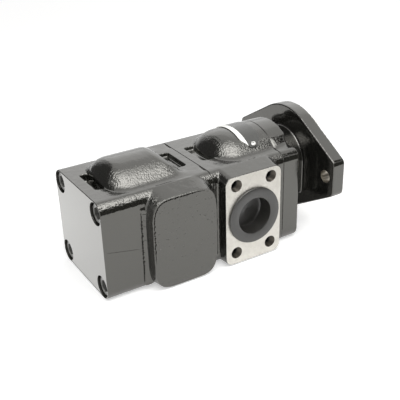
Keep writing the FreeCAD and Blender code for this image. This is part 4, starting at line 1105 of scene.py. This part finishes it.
def plate_prism():
    """The plate's outline seen from above, pulled up through the tube."""
    prism = flat_disc(8)
    corners = [
        (PLATE_START, -PLATE_HALF), (RIVET_X - TAB_HALF, -TAB_REACH), (RIVET_X + TAB_HALF, -TAB_REACH),
        (PLATE_END, -PLATE_HALF), (PLATE_END, PLATE_HALF), (RIVET_X + TAB_HALF, TAB_REACH),
        (RIVET_X - TAB_HALF, TAB_REACH), (PLATE_START, PLATE_HALF),
    ]
    around = sorted(prism.data.vertices, key=lambda v: math.atan2(v.co.y, v.co.x))
    corners.sort(key=lambda c: math.atan2(c[1], c[0] - RIVET_X))
    for vertex, (x, y) in zip(around, corners):
        vertex.co = Vector((x, y, 20)) * MM
    pick_vertices(prism, lambda place: True)
    bpy.ops.mesh.bevel(offset=2.0 * MM, segments=6, affect="VERTICES")
    return pull_out(prism, (0, 0, 40))


plate_length = PLATE_END - PLATE_START
plate = add_bar(PLATE_OUTSIDE, (PLATE_START - 5, 0, 0), plate_length + 10, sides=256)
combine(plate, add_bar(PLATE_INSIDE, (PLATE_START - 6, 0, 0), plate_length + 12, sides=256))
combine(plate, plate_prism(), "INTERSECT")
plate.name = "rolled_nameplate"
print("nameplate", len(plate.data.polygons), "faces")

# %% Printed plate finish
# Printed aluminium: the bare strip along the rear edge flashes white, the print is a dark satin.
plate_finish, tree, shader, place = new_material("printed_nameplate_aluminium")
along = add_node(tree, "ShaderNodeSeparateXYZ", {"Vector": place})
edge = add_node(tree, "ShaderNodeMath", {0: along.outputs["X"]}, operation="LESS_THAN")
edge.inputs[1].default_value = (PLATE_START + PLATE_STRIP) * MM
bare = edge.outputs[0]
tone = ramp(tree, bare, [(0.4, linear("#50504d")), (0.6, linear("#e4e4e0"))])
gloss = ramp(tree, bare, [(0.4, grey(0.2)), (0.6, grey(0.42))])
tree.links.new(tone, shader.inputs["Base Color"])
tree.links.new(bare, shader.inputs["Metallic"])
tree.links.new(gloss, shader.inputs["Roughness"])
rolled = add_node(tree, "ShaderNodeBump", {"Height": noise(tree, place, 1.2, 2)},
                  Strength=0.15, Distance=0.2 * MM)
tree.links.new(rolled.outputs["Normal"], shader.inputs["Normal"])
plate.data.materials.clear()
plate.data.materials.append(plate_finish)
only(plate)
bpy.ops.object.shade_smooth_by_angle(angle=SMOOTH_ANGLE)
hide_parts("nameplate")
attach(plate, "housing")
print("nameplate finish:", plate_finish.name)

# %% Rivets
RIVET_ANGLE = math.radians(38)
rivet_profile = [
    (-5.0, 1.35), (0.0, 1.35), (0.0, 3.0), (0.45, 3.05), (0.95, 2.75), (1.25, 2.2), (1.3, 1.75),
    (1.2, 1.4), (0.4, 1.15), (0.0, 0.3),
]
rivet_pair = []
for side in (-1, 1):
    turn = side * RIVET_ANGLE
    spot = (RIVET_X, -PLATE_OUTSIDE * math.sin(turn), PLATE_OUTSIDE * math.cos(turn))
    rivet_pair.append(turned(rivet_profile, spot, (turn, 0, 0), 32))
rivets = joined(rivet_pair)
rivets.name = "hollow_drive_rivets"
rivets.data.materials.append(rivet_aluminium)
only(rivets)
bpy.ops.object.shade_smooth_by_angle(angle=SMOOTH_ANGLE)
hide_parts("nameplate_rivets")
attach(rivets, "housing")
print("rivets", len(rivets.data.polygons), "faces")

# %% [markdown]
# ## Floor and world
# The photograph's background is pure white, brighter than a lit white table. A stronger lamp would
# whiten the table and wash out the pump too. The floor therefore adds a glow of its own, for what
# the camera and the paint's reflections see, and its lit part keeps the soft shadow.

# %% Floor
FLOOR_DROP = 0.3 * MM
FLOOR_GLOW = 0.46
floor_height = cad_box[0][2] - FLOOR_DROP
bpy.ops.mesh.primitive_plane_add(size=6, location=(0, 0, floor_height))
floor = bpy.context.object
floor.name = "studio_floor"
floor_paint = bpy.data.materials.new("white_studio_floor")
floor_paint.use_nodes = True
tree = floor_paint.node_tree
surface = tree.nodes["Principled BSDF"]
surface.inputs["Base Color"].default_value = linear("#f4f4f3")
surface.inputs["Roughness"].default_value = 0.9
surface.inputs["Specular IOR Level"].default_value = 0.0


def seen_directly(tree):
    """1 for rays of the camera, of reflections and of glass, and 0 for the light that surfaces get."""
    path = add_node(tree, "ShaderNodeLightPath")
    mirror = add_node(tree, "ShaderNodeMath", {
        0: path.outputs["Is Camera Ray"], 1: path.outputs["Is Glossy Ray"],
    }, operation="MAXIMUM")
    clear = add_node(tree, "ShaderNodeMath", {
        0: mirror.outputs[0], 1: path.outputs["Is Transmission Ray"],
    }, operation="MAXIMUM")
    return clear.outputs[0]


amount = add_node(tree, "ShaderNodeMath", {0: seen_directly(tree)}, operation="MULTIPLY")
amount.inputs[1].default_value = FLOOR_GLOW
glow = add_node(tree, "ShaderNodeEmission", {"Strength": amount.outputs[0]})
glow.inputs["Color"].default_value = linear("#ffffff")
lit = add_node(tree, "ShaderNodeAddShader", {0: surface.outputs[0], 1: glow.outputs[0]})
tree.links.new(lit.outputs[0], tree.nodes["Material Output"].inputs["Surface"])
floor.data.materials.append(floor_paint)
print("floor at", round(floor_height / MM, 1), "mm")

# %% World
world = bpy.data.worlds.new("white_studio")
bpy.context.scene.world = world
world.use_nodes = True
world_tree = world.node_tree
backdrop = world_tree.nodes["Background"]
backdrop.inputs["Color"].default_value = linear("#ffffff")
backdrop.inputs["Strength"].default_value = 0.45
seen = add_node(world_tree, "ShaderNodeBackground")
seen.inputs["Color"].default_value = linear("#ffffff")
seen.inputs["Strength"].default_value = 1.0
choice = add_node(world_tree, "ShaderNodeMixShader", {
    0: seen_directly(world_tree), 1: backdrop.outputs[0], 2: seen.outputs[0],
})
world_tree.links.new(choice.outputs[0], world_tree.nodes["World Output"].inputs["Surface"])
print("world set")

# %% [markdown]
# ## Lamps and cards
# Black gloss is lit by what it mirrors. Soft boxes above give the bright bands on the rounded
# edges, and a low panel whitens the rear end face. Two reflectors only show in mirrors, so they
# brighten the flats without more light on the bare metal. Black cards, which photographers call
# flags, stand where the photograph's dark reflections come from: the noses, the inlet boss's
# flank and the flange. A painted gradient could fake these, but it would not turn with the pump.

# %% Lamps
PUMP_MIDDLE = Vector((-115, 0, -20)) * MM


def softbox(name, place_mm, size_mm, brightness, target=None, mirrored_only=False):
    """A soft area lamp, hidden from the camera. brightness 1 looks white in a mirror."""
    place = Vector(place_mm) * MM
    target = PUMP_MIDDLE if target is None else Vector(target) * MM
    bpy.ops.object.light_add(type="AREA", location=place)
    lamp = bpy.context.object
    lamp.name = name
    lamp.rotation_euler = (target - place).to_track_quat("-Z", "Y").to_euler()
    lamp.data.shape = "RECTANGLE"
    lamp.data.size, lamp.data.size_y = (s * MM for s in size_mm)
    lamp.data.energy = brightness * math.pi * lamp.data.size * lamp.data.size_y
    lamp.visible_camera = False
    lamp.visible_diffuse = not mirrored_only
    print(name, brightness)
    return lamp


softbox("overhead_softbox", (-150, -350, 780), (1130, 640), 1.4)
softbox("front_softbox", (-150, -430, 770), (1130, 430), 2.0)
softbox("low_end_panel", (-346, 100, floor_height / MM + 1), (150, 320), 0.95, (-346, 100, 1000))
softbox("rear_panel", (900, 1300, 1050), (2200, 1400), 0.3)
softbox("rear_reflector", (685, 800, 1110), (3000, 1900), 0.25, mirrored_only=True)
softbox("top_reflector", (-275, -200, 810), (850, 600), 1.8, (-275, -150, 0), mirrored_only=True)

# %% Cloth of the cards
# Black cloth is matte and grey rather than black, so a mirrored card reads as deep shadow.
flag_cloth = bpy.data.materials.new("black_flag_cloth")
flag_cloth.use_nodes = True
cloth = flag_cloth.node_tree.nodes["Principled BSDF"]
cloth.inputs["Base Color"].default_value = linear("#4c4b44")
cloth.inputs["Roughness"].default_value = 1.0

# The card on the left glows with painted light, brighter towards its sides and its top, as a card
# close to a lamp would be lit. No hard line then runs over the rounded skin that mirrors it.
glowing_flag_with_painted_light = bpy.data.materials.new("flag_glowing_with_painted_light")
glowing_flag_with_painted_light.use_nodes = True
tree = glowing_flag_with_painted_light.node_tree
place = add_node(tree, "ShaderNodeTexCoord").outputs["Object"]
spot = add_node(tree, "ShaderNodeSeparateXYZ", {"Vector": place})
shifted = add_node(tree, "ShaderNodeMath", {0: spot.outputs["X"]}, operation="ADD")
shifted.inputs[1].default_value = 0.06
sideways = add_node(tree, "ShaderNodeMath", {0: shifted.outputs[0]}, operation="ABSOLUTE")
upwards = add_node(tree, "ShaderNodeMath", {0: spot.outputs["Y"]}, operation="SUBTRACT")
upwards.inputs[1].default_value = 0.04
edge = add_node(tree, "ShaderNodeMath", {
    0: sideways.outputs[0], 1: upwards.outputs[0],
}, operation="MAXIMUM")
painted_light_gradient = ramp(tree, edge.outputs[0], [
    (0.26, grey(0.1)), (0.36, grey(0.35)), (0.47, grey(0.8)), (0.56, grey(0.95)),
])
card = add_node(tree, "ShaderNodeEmission", {"Color": painted_light_gradient})
tree.links.new(card.outputs[0], tree.nodes["Material Output"].inputs["Surface"])
print("cloths:", flag_cloth.name, glowing_flag_with_painted_light.name)

# %% Cards
UPRIGHT, LEVEL = math.pi / 2, 0


def black_flag(name, middle, turn_deg, width, height, tilt=UPRIGHT, cloth=flag_cloth):
    """A black card that only reflections see."""
    bpy.ops.object.select_all(action="DESELECT")
    turn = (tilt, 0, math.radians(turn_deg))
    bpy.ops.mesh.primitive_plane_add(size=1, location=middle, rotation=turn)
    flag = bpy.context.object
    flag.name = name
    flag.scale = (width, height, 1)
    flag.data.materials.append(cloth)
    flag.visible_camera = False
    flag.visible_diffuse = False
    flag.visible_shadow = False
    return flag


black_flag("front_flag", (0.2, -0.42, 0.11), 0, 1.0, 0.371)
# The left card is no lamp but glows with painted light from its graded emission.
black_flag("left_flag", (-0.75, 0.755, 1.0), 43, 1.79, 2.15, cloth=glowing_flag_with_painted_light)
black_flag("right_flag", (1.1, -0.7, 1.2), 0, 1.2, 0.8, LEVEL)
print("cards set")

# %% Colour
bpy.context.scene.view_settings.view_transform = "Standard"
